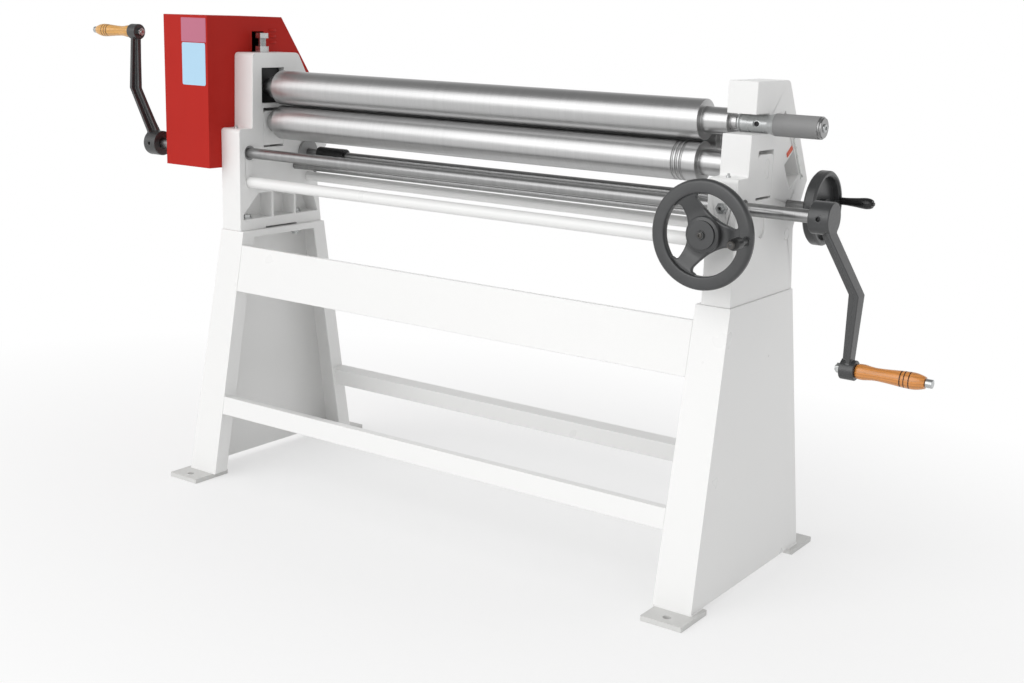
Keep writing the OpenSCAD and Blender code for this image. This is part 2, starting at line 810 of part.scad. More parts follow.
// Crank arm with its hub at the origin, reaching down and outward
module crank_arm() {
    flange_t = 10;
    flange_w = 42;
    flange_end_w = 30;
    web_t = 12;
    web_depth = 16;
    out = hub_l / 2;
    reach = crank_offset + boss_len / 2 - 3;
    edge = [[out, 0], [out, 30], [reach, crank_bend], [reach - 8, crank_r]];
    web_x = [for (i = [0:2]) edge[i][0] - flange_t - web_depth];
    web_end_x = crank_offset - boss_len / 2 + 2;
    bore_d = crank_d + 2 * run_gap;
    difference() {
        union() {
            rotate([0, 90, 0]) cylinder(h = hub_l, d = hub_d, center = true);
            intersection() {
                translate([0, flange_w / 2, 0]) rotate([90, 0, 0]) linear_extrude(flange_w)
                    polygon(concat([for (p = edge) [p[0], -p[1]]],
                                   [for (i = [3:-1:0]) [edge[i][0] - flange_t, -edge[i][1]]]));
                slab_x(-hub_l, 2 * reach) polygon([
                    [-flange_w / 2, 0], [flange_w / 2, 0],
                    [flange_end_w / 2, -crank_r], [-flange_end_w / 2, -crank_r]
                ]);
            }
            translate([0, web_t / 2, 0]) rotate([90, 0, 0]) linear_extrude(web_t)
                polygon(concat([for (p = edge) [p[0] - flange_t / 2, -p[1]]],
                               [[web_end_x, -crank_r]], [for (i = [2:-1:0]) [web_x[i], -edge[i][1]]]));
            translate([crank_offset - boss_len / 2, 0, -crank_r]) rotate([0, 90, 0])
                cylinder(h = boss_len, d = grip_boss_d);
        }
        rotate([0, 90, 0]) translate([0, 0, -hub_l]) cylinder(h = 1.5 * hub_l - 4, d = bore_d);
        translate([crank_offset - boss_len, 0, -crank_r]) rotate([0, 90, 0])
            cylinder(h = 2 * boss_len, d = grip_pin_d + 2 * run_gap);
        rotate([90, 0, 0]) cylinder(h = hub_d, d = set_screw_d + 2 * bolt_gap);
    }
}

set_screw_d = 8;

// Places crank parts at the right end, pointing down, or turned round at the left end, pointing up
module at_crank(side) {
    translate([side > 0 ? right_hub_x : left_hub_x, crank_y, crank_z])
        rotate([0, side > 0 ? 0 : 180, 0]) children();
}

module left_crank_arm() {
    color(dark_iron) at_crank(-1) crank_arm();
}

module right_crank_arm() {
    color(dark_iron) at_crank(1) crank_arm();
}

module crank_set_screws() {
    color(zinc) for (side = [-1, 1])
        translate([side > 0 ? right_hub_x : left_hub_x, crank_y, crank_z]) rotate([90, 0, 0])
            translate([0, 0, crank_d / 2 + 0.1]) cylinder(h = hub_d / 2 - crank_d / 2 - 5, d = set_screw_d);
}

module grip_pins() {
    pin_start = crank_offset - boss_len / 2 - 13;
    pin_end = crank_offset + boss_len / 2 + grip_l + 2 * grip_gap;
    color(zinc) for (side = [-1, 1]) at_crank(side) translate([0, 0, -crank_r]) rotate([0, 90, 0]) {
        translate([0, 0, pin_start]) cylinder(h = pin_end - pin_start + 4, d = grip_pin_d);
        translate([0, 0, pin_start + 3]) hexagon(19, 10);
        translate([0, 0, pin_end]) cylinder(h = 14, d = grip_pin_d + 6);
    }
}

// Turned wooden grip
module crank_grip() {
    l = grip_l;
    bore_r = grip_pin_d / 2 + run_gap;
    color(wood) translate([crank_offset + boss_len / 2 + grip_gap, 0, -crank_r]) rotate([0, 90, 0])
        rotate_extrude() polygon(concat(
            [[bore_r, 0], [14, 0], [16, 0.03 * l], [16.2, 0.11 * l], [14.4, 0.2 * l]],
            [for (i = [0:6]) [13.4 + 4 * (1 - cos(i * 30)) / 2, (0.28 + 0.09 * i) * l]],
            [[16.6, 0.88 * l], [14.8, 0.94 * l], [12, l], [bore_r, l]]
        ));
}

module left_crank_grip() {
    at_crank(-1) crank_grip();
}

module right_crank_grip() {
    at_crank(1) crank_grip();
}

// Gear train

// Shaft of the gear train, with a cross slot that takes the upper roll's tang at the swing axis
module drive_shaft() {
    slot_w = tang_t + 2 * tang_play;
    slot_start = pivot_x - tang_l / 2 - 4;
    color(steel) difference() {
        union() {
            along_x(-housing_out - dog_l, dog_in, roll_y, upper_z, dog_d);
            along_x(big_gear_x - gear_w - 14, -housing_out - dog_l + over, roll_y, upper_z, drive_shaft_d);
        }
        translate([slot_start, roll_y - dog_d, upper_z - slot_w / 2])
            cube([dog_in - slot_start + over, 2 * dog_d, slot_w]);
    }
}

module drive_gear() {
    hole_ring_r = 92;
    color(dark_iron) difference() {
        union() {
            slab_x(big_gear_x - gear_w, big_gear_x) translate([roll_y, upper_z])
                rotate(mesh_angle + 180 / gear_teeth) spur_gear(gear_teeth, gear_module, 0.8, 1.05);
            along_x(big_gear_x - gear_w, big_gear_x + 5, roll_y, upper_z, 2 * drive_shaft_d);
        }
        along_x(big_gear_x - gear_w - over, big_gear_x + 6, roll_y, upper_z, drive_shaft_d + 2 * run_gap);
        for (a = [0:60:300])
            along_x(big_gear_x - gear_w - over, big_gear_x + over,
                    roll_y + hole_ring_r * cos(a), upper_z + hole_ring_r * sin(a), 50);
    }
}

module transfer_gear() {
    color(dark_iron) difference() {
        slab_x(gear_x - roll_gear_w, gear_x) translate([roll_y, upper_z])
            rotate(-90 + 180 / roll_gear_teeth) spur_gear(roll_gear_teeth, roll_gear_module, 0.8, 1.05);
        along_x(gear_x - roll_gear_w - over, gear_x + over, roll_y, upper_z, drive_shaft_d + 2 * run_gap);
    }
}

module gear_nut() {
    nut_x = big_gear_x - gear_w - 12;
    color(zinc) difference() {
        translate([nut_x, roll_y, upper_z]) rotate([0, 90, 0]) hexagon(54, 12);
        along_x(nut_x - over, nut_x + 13, roll_y, upper_z, drive_shaft_d + 2 * bolt_gap);
    }
}

// Upper roll

// Bearing block that turns on the pivot bolt, its back sloping off so that the roll can swing out
module pivot_block() {
    half_t = pivot_block_t / 2;
    half_w = pivot_block_w / 2;
    side_t = half_t - half_w * tan(swing_room);
    color(black) difference() {
        translate([pivot_x, roll_y, upper_z - pivot_block_h / 2])
            linear_extrude(pivot_block_h + pivot_block_rise)
            polygon([
                [-side_t, -half_w], [half_t, -half_w], [half_t, half_w], [-side_t, half_w], [-half_t, 0]
            ]);
        along_x(bearing_start - over, pivot_x + pivot_block_t, roll_y, upper_z, journal_d + 2 * run_gap);
        along_x(pivot_x - pivot_block_t, bearing_start, roll_y, upper_z, dog_room);
        along_z(pivot_bolt_low - over, upper_z + pivot_block_h, pivot_x, roll_y,
                pivot_bolt_d + 2 * run_gap);
    }
}

module wire_grooves(y, z) {
    first = 36;
    pitch = 10.5;
    for (i = [0:groove_count - 1])
        translate([roll_right - first - pitch * i, y, z]) rotate([0, 90, 0])
            rotate_extrude() translate([roll_d / 2, 0]) circle(d = groove_d);
}

module upper_roll() {
    color(steel) {
        along_x(roll_left, roll_right, roll_y, upper_z, roll_d);
        along_x(-half_span + neck_end, roll_left + over, roll_y, upper_z, neck_d);
        along_x(roll_right - over, half_span - upper_neck_end, roll_y, upper_z, neck_d);
        along_x(half_span - upper_neck_end - over, half_span, roll_y, upper_z, stub_d + 10);
        along_x(journal_end, -half_span + neck_end + over, roll_y, upper_z, journal_d);
        translate([journal_end - tang_l, roll_y - tang_w / 2, upper_z - tang_t / 2])
            cube([tang_l + over, tang_w, tang_t]);
        along_x(half_span - over, sleeve_out + 4, roll_y, upper_z, stub_d);
    }
}

module release_sleeve() {
    core_end = sleeve_out + flare_l + handle_l;
    screw_x = sleeve_out - 22;
    screw_hole_d = 16;
    screw_deep = 3.2;
    color(steel) difference() {
        union() {
            along_x(sleeve_in, sleeve_out, roll_y, upper_z, sleeve_d);
            translate([sleeve_out, roll_y, upper_z]) rotate([0, 90, 0])
                cylinder(h = flare_l, d1 = sleeve_d, d2 = handle_d);
            along_x(sleeve_out, core_end, roll_y, upper_z, handle_core_d);
        }
        along_x(sleeve_in - over, sleeve_out + 6, roll_y, upper_z, stub_d + 2 * run_gap);
        translate([sleeve_in + 6, roll_y, upper_z]) rotate([0, 90, 0])
            rotate_extrude() translate([sleeve_d / 2, 0]) circle(d = 4);
        along_y(roll_y - sleeve_d, roll_y - sleeve_d / 2 + screw_deep, screw_x, upper_z, screw_hole_d);
    }
}

handle_core_d = 36;

module release_grip() {
    start = sleeve_out + flare_l;
    color(grip_grey) difference() {
        along_x(start, start + handle_l, roll_y, upper_z, handle_d);
        along_x(start - over, start + handle_l + over, roll_y, upper_z, handle_core_d + 2 * run_gap);
    }
}

module release_cap() {
    start = sleeve_out + flare_l + handle_l;
    color(steel) {
        along_x(start, start + handle_cap_l / 2, roll_y, upper_z, handle_d);
        along_x(start, start + handle_cap_l, roll_y, upper_z, handle_d - 6);
    }
}

// Lower roll and its setting

module lower_block(bore_end) {
    collar_room = jack_collar_h + lower_travel + 2;
    difference() {
        slab_x(housing_x + block_inset, housing_out - block_inset)
            upright_block(block_w, block_bottom, block_top, 10);
        along_x(housing_x - over, bore_end, roll_y, lower_z, journal_d + 2 * run_gap);
        along_z(block_bottom - over, jack_top + lower_travel + 1, setting_x, roll_y, jack_d + 2 * run_gap);
        along_z(block_bottom - over, block_bottom + collar_room, setting_x, roll_y, jack_d + 18);
    }
}

module lower_left_block() {
    color(white) mirrored(-1) lower_block(housing_out + over);
}

module lower_right_block() {
    pad_w = 18;
    pad_h = 42;
    pad_y = roll_y + 8;
    pad_z = lower_z - 4;
    color(white) {
        lower_block(lower_bore_end);
        slab_x(lower_bore_end, housing_out) {
            for (s = [-1, 1]) translate([pad_y, pad_z + s * (pad_h - pad_w) / 2]) circle(d = pad_w);
            translate([pad_y - pad_w / 2, pad_z - (pad_h - pad_w) / 2]) square([pad_w, pad_h - pad_w]);
        }
    }
}

module lower_roll() {
    color(steel) difference() {
        union() {
            along_x(roll_left, roll_right, roll_y, lower_z, roll_d);
            along_x(-half_span + neck_end, roll_left + over, roll_y, lower_z, neck_d);
            along_x(roll_right - over, half_span - neck_end, roll_y, lower_z, neck_d);
            along_x(gear_x - roll_gear_w - 2, -half_span + neck_end + over, roll_y, lower_z, journal_d);
            along_x(half_span - neck_end - over, lower_bore_end - 0.5, roll_y, lower_z, journal_d);
        }
        wire_grooves(roll_y, lower_z);
    }
}

module lower_roll_gear() {
    color(dark_iron) difference() {
        slab_x(gear_x - roll_gear_w, gear_x) translate([roll_y, lower_z])
            rotate(90) spur_gear(roll_gear_teeth, roll_gear_module, 0.8, 1.05);
        along_x(gear_x - roll_gear_w - over, gear_x + over, roll_y, lower_z, journal_d + 2 * run_gap);
    }
}

// Mitre gear along +Z with its pitch cone's tip at the origin
module mitre_gear() {
    translate([0, 0, mitre_in])
        cylinder(h = mitre_r - mitre_in, r1 = mitre_in - mitre_gap, r2 = mitre_r - mitre_gap);
}

module handwheel_shaft() {
    color(steel) translate([setting_x, 0, setting_z]) {
        along_y(wheel_y - wheel_hub_front - 5, setting_back - mitre_in, 0, 0, setting_d);
        translate([0, setting_back, 0]) rotate([90, 0, 0]) mitre_gear();
        translate([0, roll_y, 0]) rotate([90, 0, 0]) mitre_gear();
        along_y(-housing_front - 34, -housing_front, 0, 0, setting_d + 16);
    }
}

module left_setting_shaft() {
    color(steel) translate([-setting_x, 0, setting_z]) {
        along_y(roll_y - mitre_r - 50, setting_back - mitre_in, 0, 0, setting_d);
        translate([0, setting_back, 0]) rotate([90, 0, 0]) mitre_gear();
        translate([0, roll_y, 0]) rotate([90, 0, 0]) mitre_gear();
    }
}

module setting_cross_shaft() {
    color(steel) {
        along_x(-setting_x + mitre_in, setting_x - mitre_in, setting_back, setting_z, setting_d);
        for (side = [-1, 1]) translate([side * setting_x, setting_back, setting_z])
            rotate([0, -side * 90, 0]) mitre_gear();
    }
}

module jack_screw() {
    color(steel) translate([setting_x, roll_y, 0]) {
        translate([0, 0, setting_z]) mitre_gear();
        along_z(setting_z + mitre_r - over, jack_top, 0, 0, jack_d);
        along_z(slot_floor, slot_floor + jack_collar_h, 0, 0, jack_d + 14);
    }
}

module left_jack_screw() {
    mirrored(-1) jack_screw();
}

module right_jack_screw() {
    jack_screw();
}

// Points on an arc
function arc(c, r, a0, a1, n) =
    [for (i = [0:n]) let (a = a0 + (a1 - a0) * i / n) c + r * [cos(a), sin(a)]];

// Lens-shaped opening between two spokes, with rounded ends
module spoke_opening(inner, outer, inner_r, end_r) {
    far = inner + inner_r;
    x = (far * far + pow(outer - end_r, 2) - pow(inner_r - end_r, 2)) / (2 * far);
    y = sqrt(pow(outer - end_r, 2) - x * x);
    a_out = atan2(y, x);
    a_in = atan2(y, x - far);
    polygon(concat(
        arc([0, 0], outer, -a_out, a_out, 12),
        arc([x, y], end_r, a_out + 12, a_in - 12, 7),
        arc([far, 0], inner_r, a_in, 360 - a_in, 10),
        arc([x, -y], end_r, 12 - a_in, -a_out - 12, 7)
    ));
}

module front_handwheel() {
    rim_r = front_wheel_d / 2;
    rim_w = 29;
    rim_half = 10;
    web_t = 11;
    web_back = 3;
    hub_out = 76;
    bore_d = setting_d + 2 * run_gap;
    color(dark_iron) translate([setting_x, wheel_y, setting_z]) rotate([90, 0, 0]) difference() {
        union() {
            rotate_extrude() polygon(rounded(
                [[rim_r - rim_w, -rim_half], [rim_r, -rim_half], [rim_r, rim_half], [rim_r - rim_w, rim_half]],
                [4, 8, 8, 4]
            ));
            translate([0, 0, -web_t / 2 - web_back]) linear_extrude(web_t) difference() {
                circle(r = rim_r - rim_w / 2);
                for (a = [0:120:240]) rotate(knob_angle + 60 + a)
                    spoke_opening(hub_out / 2 + 2, rim_r - rim_w, rim_r + 5, 10);
            }
            translate([0, 0, -wheel_hub_back]) cylinder(h = wheel_hub_back + wheel_hub_front, d = hub_out);
            rotate(knob_angle) translate([knob_r, 0, 0]) {
                cylinder(h = knob_start + knob_l + 6, d = knob_pin_d);
                cylinder(h = knob_start - grip_gap, d = 16);
            }
        }
        translate([0, 0, -2 * wheel_hub_back]) cylinder(h = 3 * wheel_hub_back, d = bore_d);
    }
}

module handwheel_cap() {
    disc_t = 6;
    head_t = 10;
    color(dark_iron) translate([setting_x, wheel_y - wheel_hub_front, setting_z]) rotate([90, 0, 0])
        difference() {
            union() {
                cylinder(h = disc_t, d = 60);
                cylinder(h = head_t, d = 18);
            }
            translate([0, 0, -over]) cylinder(h = disc_t + 1.5, d = setting_d + 2 * run_gap);
        }
}

knob_pin_d = 9;
knob_l = 62;
knob_start = 14;

module front_knob() {
    color(black) translate([knob_x, wheel_y - knob_start, knob_z]) rotate([90, 0, 0]) difference() {
        union() {
            cylinder(h = 12, d = 15);
            translate([0, 0, 12]) cylinder(h = 20, d1 = 15, d2 = 26);
            translate([0, 0, 32]) cylinder(h = knob_l - 40, d = 26);
            translate([0, 0, knob_l - 8]) cylinder(h = 8, d1 = 26, d2 = 18);
        }
        translate([0, 0, -over]) cylinder(h = knob_l + 2 * over, d = knob_pin_d + 2 * run_gap);
    }
}

// Rear roll and its setting

module rear_block() {
    difference() {
        on_slide(housing_mid, -rear_block_l / 2)
            translate([-housing_t / 2 + block_inset, -rear_block_w / 2, 0])
                cube([housing_t - block_inset - rear_recess, rear_block_w, rear_block_l]);
        along_x(housing_x - over, housing_out + over, rear_y, rear_z, journal_d + 2 * run_gap);
    }
    on_slide(housing_mid, rear_block_l / 2 - over)
        cylinder(h = lift_l - rear_block_l / 2 + over, d = lift_d);
}

module rear_left_block() {
    color(block_grey) mirrored(-1) rear_block();
}

module rear_right_block() {
    color(block_grey) {
        rear_block();
        along_x(housing_out - 8, housing_out - rear_recess, rear_y, rear_z, journal_d + 6);
    }
}

module pointer() {
    color(pointer_red) on_slide(housing_out - rear_recess, rear_block_l / 2 - 17)
        translate([0, -rear_block_w / 2 + 1, 0]) cube([1.5, rear_block_w / 2 + 2, 10]);
}

module rear_roll() {
    color(steel) difference() {
        union() {
            along_x(roll_left, roll_right, rear_y, rear_z, roll_d);
            along_x(-half_span + neck_end, roll_left + over, rear_y, rear_z, neck_d - 6);
            along_x(roll_right - over, half_span - neck_end, rear_y, rear_z, neck_d - 6);
            along_x(-housing_out + 9, housing_out - 9, rear_y, rear_z, journal_d);
        }
        wire_grooves(rear_y, rear_z);
    }
}

module rear_setting_shaft() {
    color(steel) {
        along_x(-housing_out + 4, side_wheel_x + 12, rear_shaft_y, rear_shaft_z, rear_shaft_d);
        for (side = [-1, 1])
            along_x(side * housing_mid - screw_gear_w / 2, side * housing_mid + screw_gear_w / 2,
                    rear_shaft_y, rear_shaft_z, 2 * screw_gear_r);
    }
}

module lift_nut() {
    color(bronze) difference() {
        on_slide(housing_mid, lift_nut_down - screw_gear_w / 2)
            cylinder(h = screw_gear_w, r = screw_gear_r);
        on_slide(housing_mid, lift_nut_down - screw_gear_w)
            cylinder(h = 2 * screw_gear_w, d = lift_d + 2 * run_gap);
    }
}

module left_lift_nut() {
    mirrored(-1) lift_nut();
}

module right_lift_nut() {
    lift_nut();
}

coupling_d = 36;
coupling_l = 96;
coupling_off = 50;

module shaft_coupling() {
    start = -half_span + coupling_off;
    color(black) difference() {
        along_x(start, start + coupling_l, rear_shaft_y, rear_shaft_z, coupling_d);
        along_x(start - over, start + coupling_l + over, rear_shaft_y, rear_shaft_z,
                rear_shaft_d + 2 * run_gap);
    }
}

side_pin_d = 8;
side_pin_l = 92;
side_hub_in = 34;
side_hub_l = 44;
side_hub_d = 42;

module side_handwheel() {
    r = side_wheel_d / 2;
    w = side_rim_w / 2;
    c = 4;
    color(dark_iron) difference() {
        translate([side_wheel_x, rear_shaft_y, rear_shaft_z]) rotate([0, 90, 0]) {
            rotate_extrude() polygon([
                [r - side_rim_t, -w], [r - c, -w], [r, -w + c], [r, w - c],
                [r - c, w], [r - side_rim_t + c, w], [r - side_rim_t, w - c]
            ]);
            translate([0, 0, -w]) cylinder(h = 9, r = r - side_rim_t + over);
            translate([0, 0, -side_hub_in]) cylinder(h = side_hub_l, d = side_hub_d);
        }
        along_x(side_wheel_x - side_hub_l, side_wheel_x + side_hub_l, rear_shaft_y, rear_shaft_z,
                rear_shaft_d + 2 * run_gap);
    }
    color(zinc) along_x(side_wheel_x, side_wheel_x + side_pin_l, side_handle_y, side_handle_z, side_pin_d);
}

module side_handle() {
    start = side_wheel_x + side_rim_w / 2 + grip_gap;
    color(black) translate([start, side_handle_y, side_handle_z]) rotate([0, 90, 0]) difference() {
        union() {
            cylinder(h = 34, d1 = 16, d2 = 20);
            translate([0, 0, 34]) cylinder(h = 26, d1 = 20, d2 = 25);
            translate([0, 0, 60]) cylinder(h = 14, d1 = 25, d2 = 19);
        }
        translate([0, 0, -over]) cylinder(h = 76, d = side_pin_d + 2 * run_gap);
    }
}

left_leg();
right_leg();
foot_plates();
front_upper_beam();
front_lower_beam();
rear_lower_beam();
left_housing();
right_housing();
housing_bolts();
front_tie_rod();
rear_tie_rod();
gear_cover();
cover_screws();
shaft_bushes();
drive_bush();
pivot_bolt();
pivot_lock_nut();
clamp_screw();
oil_nipples();
position_scale();
gearing_covers();
crank_shaft();
drive_pinion();
left_crank_arm();
right_crank_arm();
crank_set_screws();
grip_pins();
left_crank_grip();
right_crank_grip();
drive_shaft();
drive_gear();
transfer_gear();
gear_nut();
pivot_block();
upper_roll();
release_sleeve();
release_grip();
release_cap();
lower_left_block();
lower_right_block();
lower_roll();
lower_roll_gear();
front_handwheel();
handwheel_shaft();
handwheel_cap();
front_knob();
setting_cross_shaft();
left_setting_shaft();
left_jack_screw();
right_jack_screw();
rear_left_block();
rear_right_block();
pointer();
rear_roll();
rear_setting_shaft();
shaft_coupling();
side_handwheel();
side_handle();
left_lift_nut();
right_lift_nut();
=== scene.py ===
import math
from functools import cache

import bmesh
import bpy
from bpy.props import FloatProperty, FloatVectorProperty, IntProperty, PointerProperty
from mathutils import Matrix, Vector


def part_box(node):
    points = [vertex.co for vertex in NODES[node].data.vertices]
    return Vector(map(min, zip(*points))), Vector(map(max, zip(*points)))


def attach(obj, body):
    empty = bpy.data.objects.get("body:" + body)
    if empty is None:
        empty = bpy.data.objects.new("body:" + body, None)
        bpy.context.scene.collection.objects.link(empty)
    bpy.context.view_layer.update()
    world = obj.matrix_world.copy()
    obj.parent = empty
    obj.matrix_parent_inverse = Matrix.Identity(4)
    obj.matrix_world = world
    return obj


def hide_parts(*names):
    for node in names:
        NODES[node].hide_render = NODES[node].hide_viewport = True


bl_info = {
    "name": "Plate Rolling Machine Looks",
    "version": (1, 0, 0),
    "blender": (4, 5, 0),
    "location": "View3D > Sidebar > Plate Roller",
    "description": "Paint, turned steel, cast iron, timber and small fittings of a hand plate rolling machine",
    "category": "Object",
}

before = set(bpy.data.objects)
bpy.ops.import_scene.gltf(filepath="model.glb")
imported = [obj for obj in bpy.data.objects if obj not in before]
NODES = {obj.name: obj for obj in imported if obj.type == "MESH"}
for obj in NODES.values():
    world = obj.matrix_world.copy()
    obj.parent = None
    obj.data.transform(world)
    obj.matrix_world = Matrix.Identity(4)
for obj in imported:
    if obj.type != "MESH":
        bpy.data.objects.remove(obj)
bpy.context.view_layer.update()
MM = 0.001
AHEAD, UP, ALONG = Vector((0, -1, 0)), Vector((0, 0, 1)), Vector((1, 0, 0))


def srgb(red, green, blue):
    """A colour written in screen values from 0 to 255, as the linear values that Blender keeps."""
    def linear(value):
        value /= 255
        return value / 12.92 if value <= 0.04045 else ((value + 0.055) / 1.055) ** 2.4
    return (linear(red), linear(green), linear(blue), 1)


def colour(title, words, value):
    return FloatVectorProperty(name=title, description=words, subtype="COLOR", size=4, min=0, max=1, default=value)


def number(title, words, value, **more):
    return FloatProperty(name=title, description=words, min=0, default=value, **more)


def length(title, words, value):
    return number(title, words, value, unit="LENGTH", subtype="DISTANCE")


class RollerColours(bpy.types.PropertyGroup):
    """Colours of the machine's finishes."""

    white_paint: colour("White paint", "Gloss paint of the stand, housings and tie rods", srgb(240, 240, 239))
    foot_paint: colour("Foot paint", "Duller white of the foot plates", srgb(212, 212, 210))
    red_paint: colour("Red paint", "Powder coat of the gear cover", srgb(182, 38, 30))
    grey_paint: colour("Grey paint", "Paint of the gearing covers", srgb(150, 150, 150))
    pointer_paint: colour("Pointer paint", "Stripe that points at the scale", srgb(222, 84, 44))
    roll_steel: colour("Roll steel", "Turned and polished faces of the rolls", srgb(186, 186, 186))
    bright_steel: colour("Bright steel", "Shafts, sleeves and screws", srgb(152, 152, 152))
    zinc: colour("Zinc", "Plated bolts, nuts and pins", srgb(186, 188, 188))
    dark_iron: colour("Dark iron", "Painted castings of the handwheels and cranks", srgb(52, 53, 54))
    gear_iron: colour("Gear iron", "Bare iron of the gears", srgb(86, 84, 82))
    black_iron: colour("Black iron", "Pivot block and shaft coupling", srgb(24, 24, 25))
    bronze: colour("Bronze", "Bushes and lift nuts", srgb(176, 132, 74))
    black_plastic: colour("Black plastic", "Moulded handles", srgb(22, 22, 23))
    grey_grip: colour("Grey grip", "Sleeve of the release handle", srgb(138, 138, 138))
    warm_wood: colour("Warm wood", "Right crank grip", srgb(206, 134, 62))
    pale_wood: colour("Pale wood", "Left crank grip", srgb(216, 160, 80))
    burnt_wood: colour("Burnt wood", "Rings burnt into the grips", srgb(52, 30, 16))
    scale_metal: colour("Scale metal", "Strip that carries the graduations", srgb(214, 216, 214))
    rose_plate: colour("Rose plate", "Upper blank plate on the gear cover", srgb(190, 108, 132))
    pale_plate: colour("Pale plate", "Lower blank plate on the gear cover", srgb(177, 214, 238))


class RollerSizes(bpy.types.PropertyGroup):
    """Sizes of the softened edges and the small fittings."""

    casting_edge: length("Casting edge", "Radius on the edges of the housings", 1.5 * MM)
    sheet_edge: length("Sheet edge", "Radius on the bends of the legs and beams", 1.8 * MM)
    turned_edge: length("Turned edge", "Radius on the edges of turned parts", 0.9 * MM)
    fine_edge: length("Fine edge", "Radius on the edges of small parts", 0.5 * MM)
    roll_edge: length("Roll edge", "Radius on the ends of the rolls", 1.4 * MM)
    cover_edge: length("Cover edge", "Radius on the bends of the gear cover", 0.8 * MM)
    dish_edge: length("Dish edge", "Radius on the edges of the side handwheel", 0.35 * MM)
    wheel_edge: length("Wheel edge", "Radius on the edges of the handwheels and cranks", 2.4 * MM)
    weld_size: length("Weld size", "Radius of the weld beads on the stand", 2.4 * MM)
    thread_pitch: length("Thread pitch", "Pitch of the pivot bolt's thread", 2.5 * MM)
    tick_step: length("Tick step", "Distance between graduations of the scale", 5 * MM)
    lathe_steps: IntProperty(name="Lathe steps", description="Faces around a turned piece", min=12, max=128, default=56)


class RollerStage(bpy.types.PropertyGroup):
    """Floor and light."""

    floor: colour("Floor", "Colour of the floor", (0.94, 0.94, 0.94, 1))
    floor_glow: number("Floor glow", "Share of plain white that the lens sees near the machine", 0.5, subtype="FACTOR",
                       max=1)
    floor_near: length("Near floor", "Distance within which the floor keeps the machine's shadow", 0.55)
    floor_far: length("Far floor", "Distance beyond which the floor runs into the backdrop", 1.7)
    sun: number("Key light", "Strength of the key light", 1.25)
    sun_width: number("Key width", "Angle that the key light fills", math.radians(58), subtype="ANGLE")
    fill: number("Fill light", "Strength of the light from all round", 0.65)
    ceiling: number("Ceiling", "Brightness of the studio's ceiling, as metal shows it", 0.3, max=1)


# Shader groups that several finishes share

def feed(tree, node, values):
    """Sets a node's inputs; one that is given as a socket is linked."""
    for key, value in values.items():
        if isinstance(value, bpy.types.NodeSocket):
            tree.links.new(value, node.inputs[key])
        else:
            node.inputs[key].default_value = value


def add(tree, kind, values=None, **settings):
    node = tree.nodes.new(kind)
    for key, value in settings.items():
        setattr(node, key, value)
    feed(tree, node, values or {})
    return node


def stretched(tree, vector, scale):
    """Coordinates stretched by a vector."""
    return add(tree, "ShaderNodeVectorMath", {0: vector, 1: scale}, operation="MULTIPLY").outputs[0]


def noise(tree, vector, scale, detail, roughness=0.5):
    values = {"Vector": vector, "Scale": scale, "Detail": detail, "Roughness": roughness}
    return add(tree, "ShaderNodeTexNoise", values).outputs["Fac"]


def math_node(tree, operation, first, second):
    return add(tree, "ShaderNodeMath", {0: first, 1: second}, operation=operation).outputs[0]


def blend(tree, first, share, second, other_share):
    """Sum of two values, each times its share."""
    return math_node(tree, "ADD", math_node(tree, "MULTIPLY", first, share),
                     math_node(tree, "MULTIPLY", second, other_share))


def remap(tree, value, low, high, to_low=0, to_high=1):
    values = {"Value": value, "From Min": low, "From Max": high, "To Min": to_low, "To Max": to_high}
    return add(tree, "ShaderNodeMapRange", values).outputs["Result"]


def paint_film(tree, place, scale):
    """Sprayed paint: fine orange peel, slow waves and a little unevenness of gloss."""
    peel = noise(tree, place, scale, 2, 0.45)
    wave = noise(tree, place, 9, 3)
    cloud = noise(tree, place, 3, 4, 0.6)
    return remap(tree, cloud, 0.3, 0.7), remap(tree, wave, 0.25, 0.75), blend(tree, peel, 1, wave, 0.5)


def turned_marks(tree, place, stretch):
    """Rings left by turning and polishing, stretched round the axis of the part."""
    vector = stretched(tree, place, stretch)
    fine = noise(tree, vector, 520, 5, 0.7)
    bands = noise(tree, vector, 62, 4, 0.65)
    smear = noise(tree, place, 14, 3)
    tone = blend(tree, fine, 0.55, bands, 0.45)
    gloss = blend(tree, bands, 0.6, smear, 0.4)
    return remap(tree, tone, 0.36, 0.64), remap(tree, gloss, 0.35, 0.65), fine


def cast_grain(tree, place, scale):
    """Sand-cast skin: coarse pits under a fine grain."""
    grain = noise(tree, place, scale, 4, 0.62)
    pits = add(tree, "ShaderNodeTexVoronoi", {"Vector": place, "Scale": 160}).outputs["Distance"]
    cloud = noise(tree, place, 22, 4, 0.6)
    height = blend(tree, grain, 1, remap(tree, pits, 0, 0.35), 0.35)
    return remap(tree, cloud, 0.3, 0.7), remap(tree, grain, 0.3, 0.7), height


def wood_grain(tree, place, stretch):
    """Long fibres along the grip with slow growth bands."""
    vector = stretched(tree, place, stretch)
    growth = add(tree, "ShaderNodeTexWave",
                 {"Vector": vector, "Scale": 46, "Distortion": 7, "Detail": 3, "Detail Scale": 2},
                 wave_type="BANDS", bands_direction="Z").outputs["Fac"]
    fibre = noise(tree, vector, 900, 4, 0.6)
    return remap(tree, blend(tree, growth, 0.55, fibre, 0.45), 0.15, 0.85), fibre, fibre


NUMBER, VECTOR = "NodeSocketFloat", "NodeSocketVector"
EFFECTS = {
    "paint": (paint_film, "Peel scale", NUMBER, 420),
    "turned": (turned_marks, "Stretch", VECTOR, (1, 0.02, 0.02)),
    "cast": (cast_grain, "Grain scale", NUMBER, 300),
    "wood": (wood_grain, "Stretch", VECTOR, (0.08, 1, 1)),
}


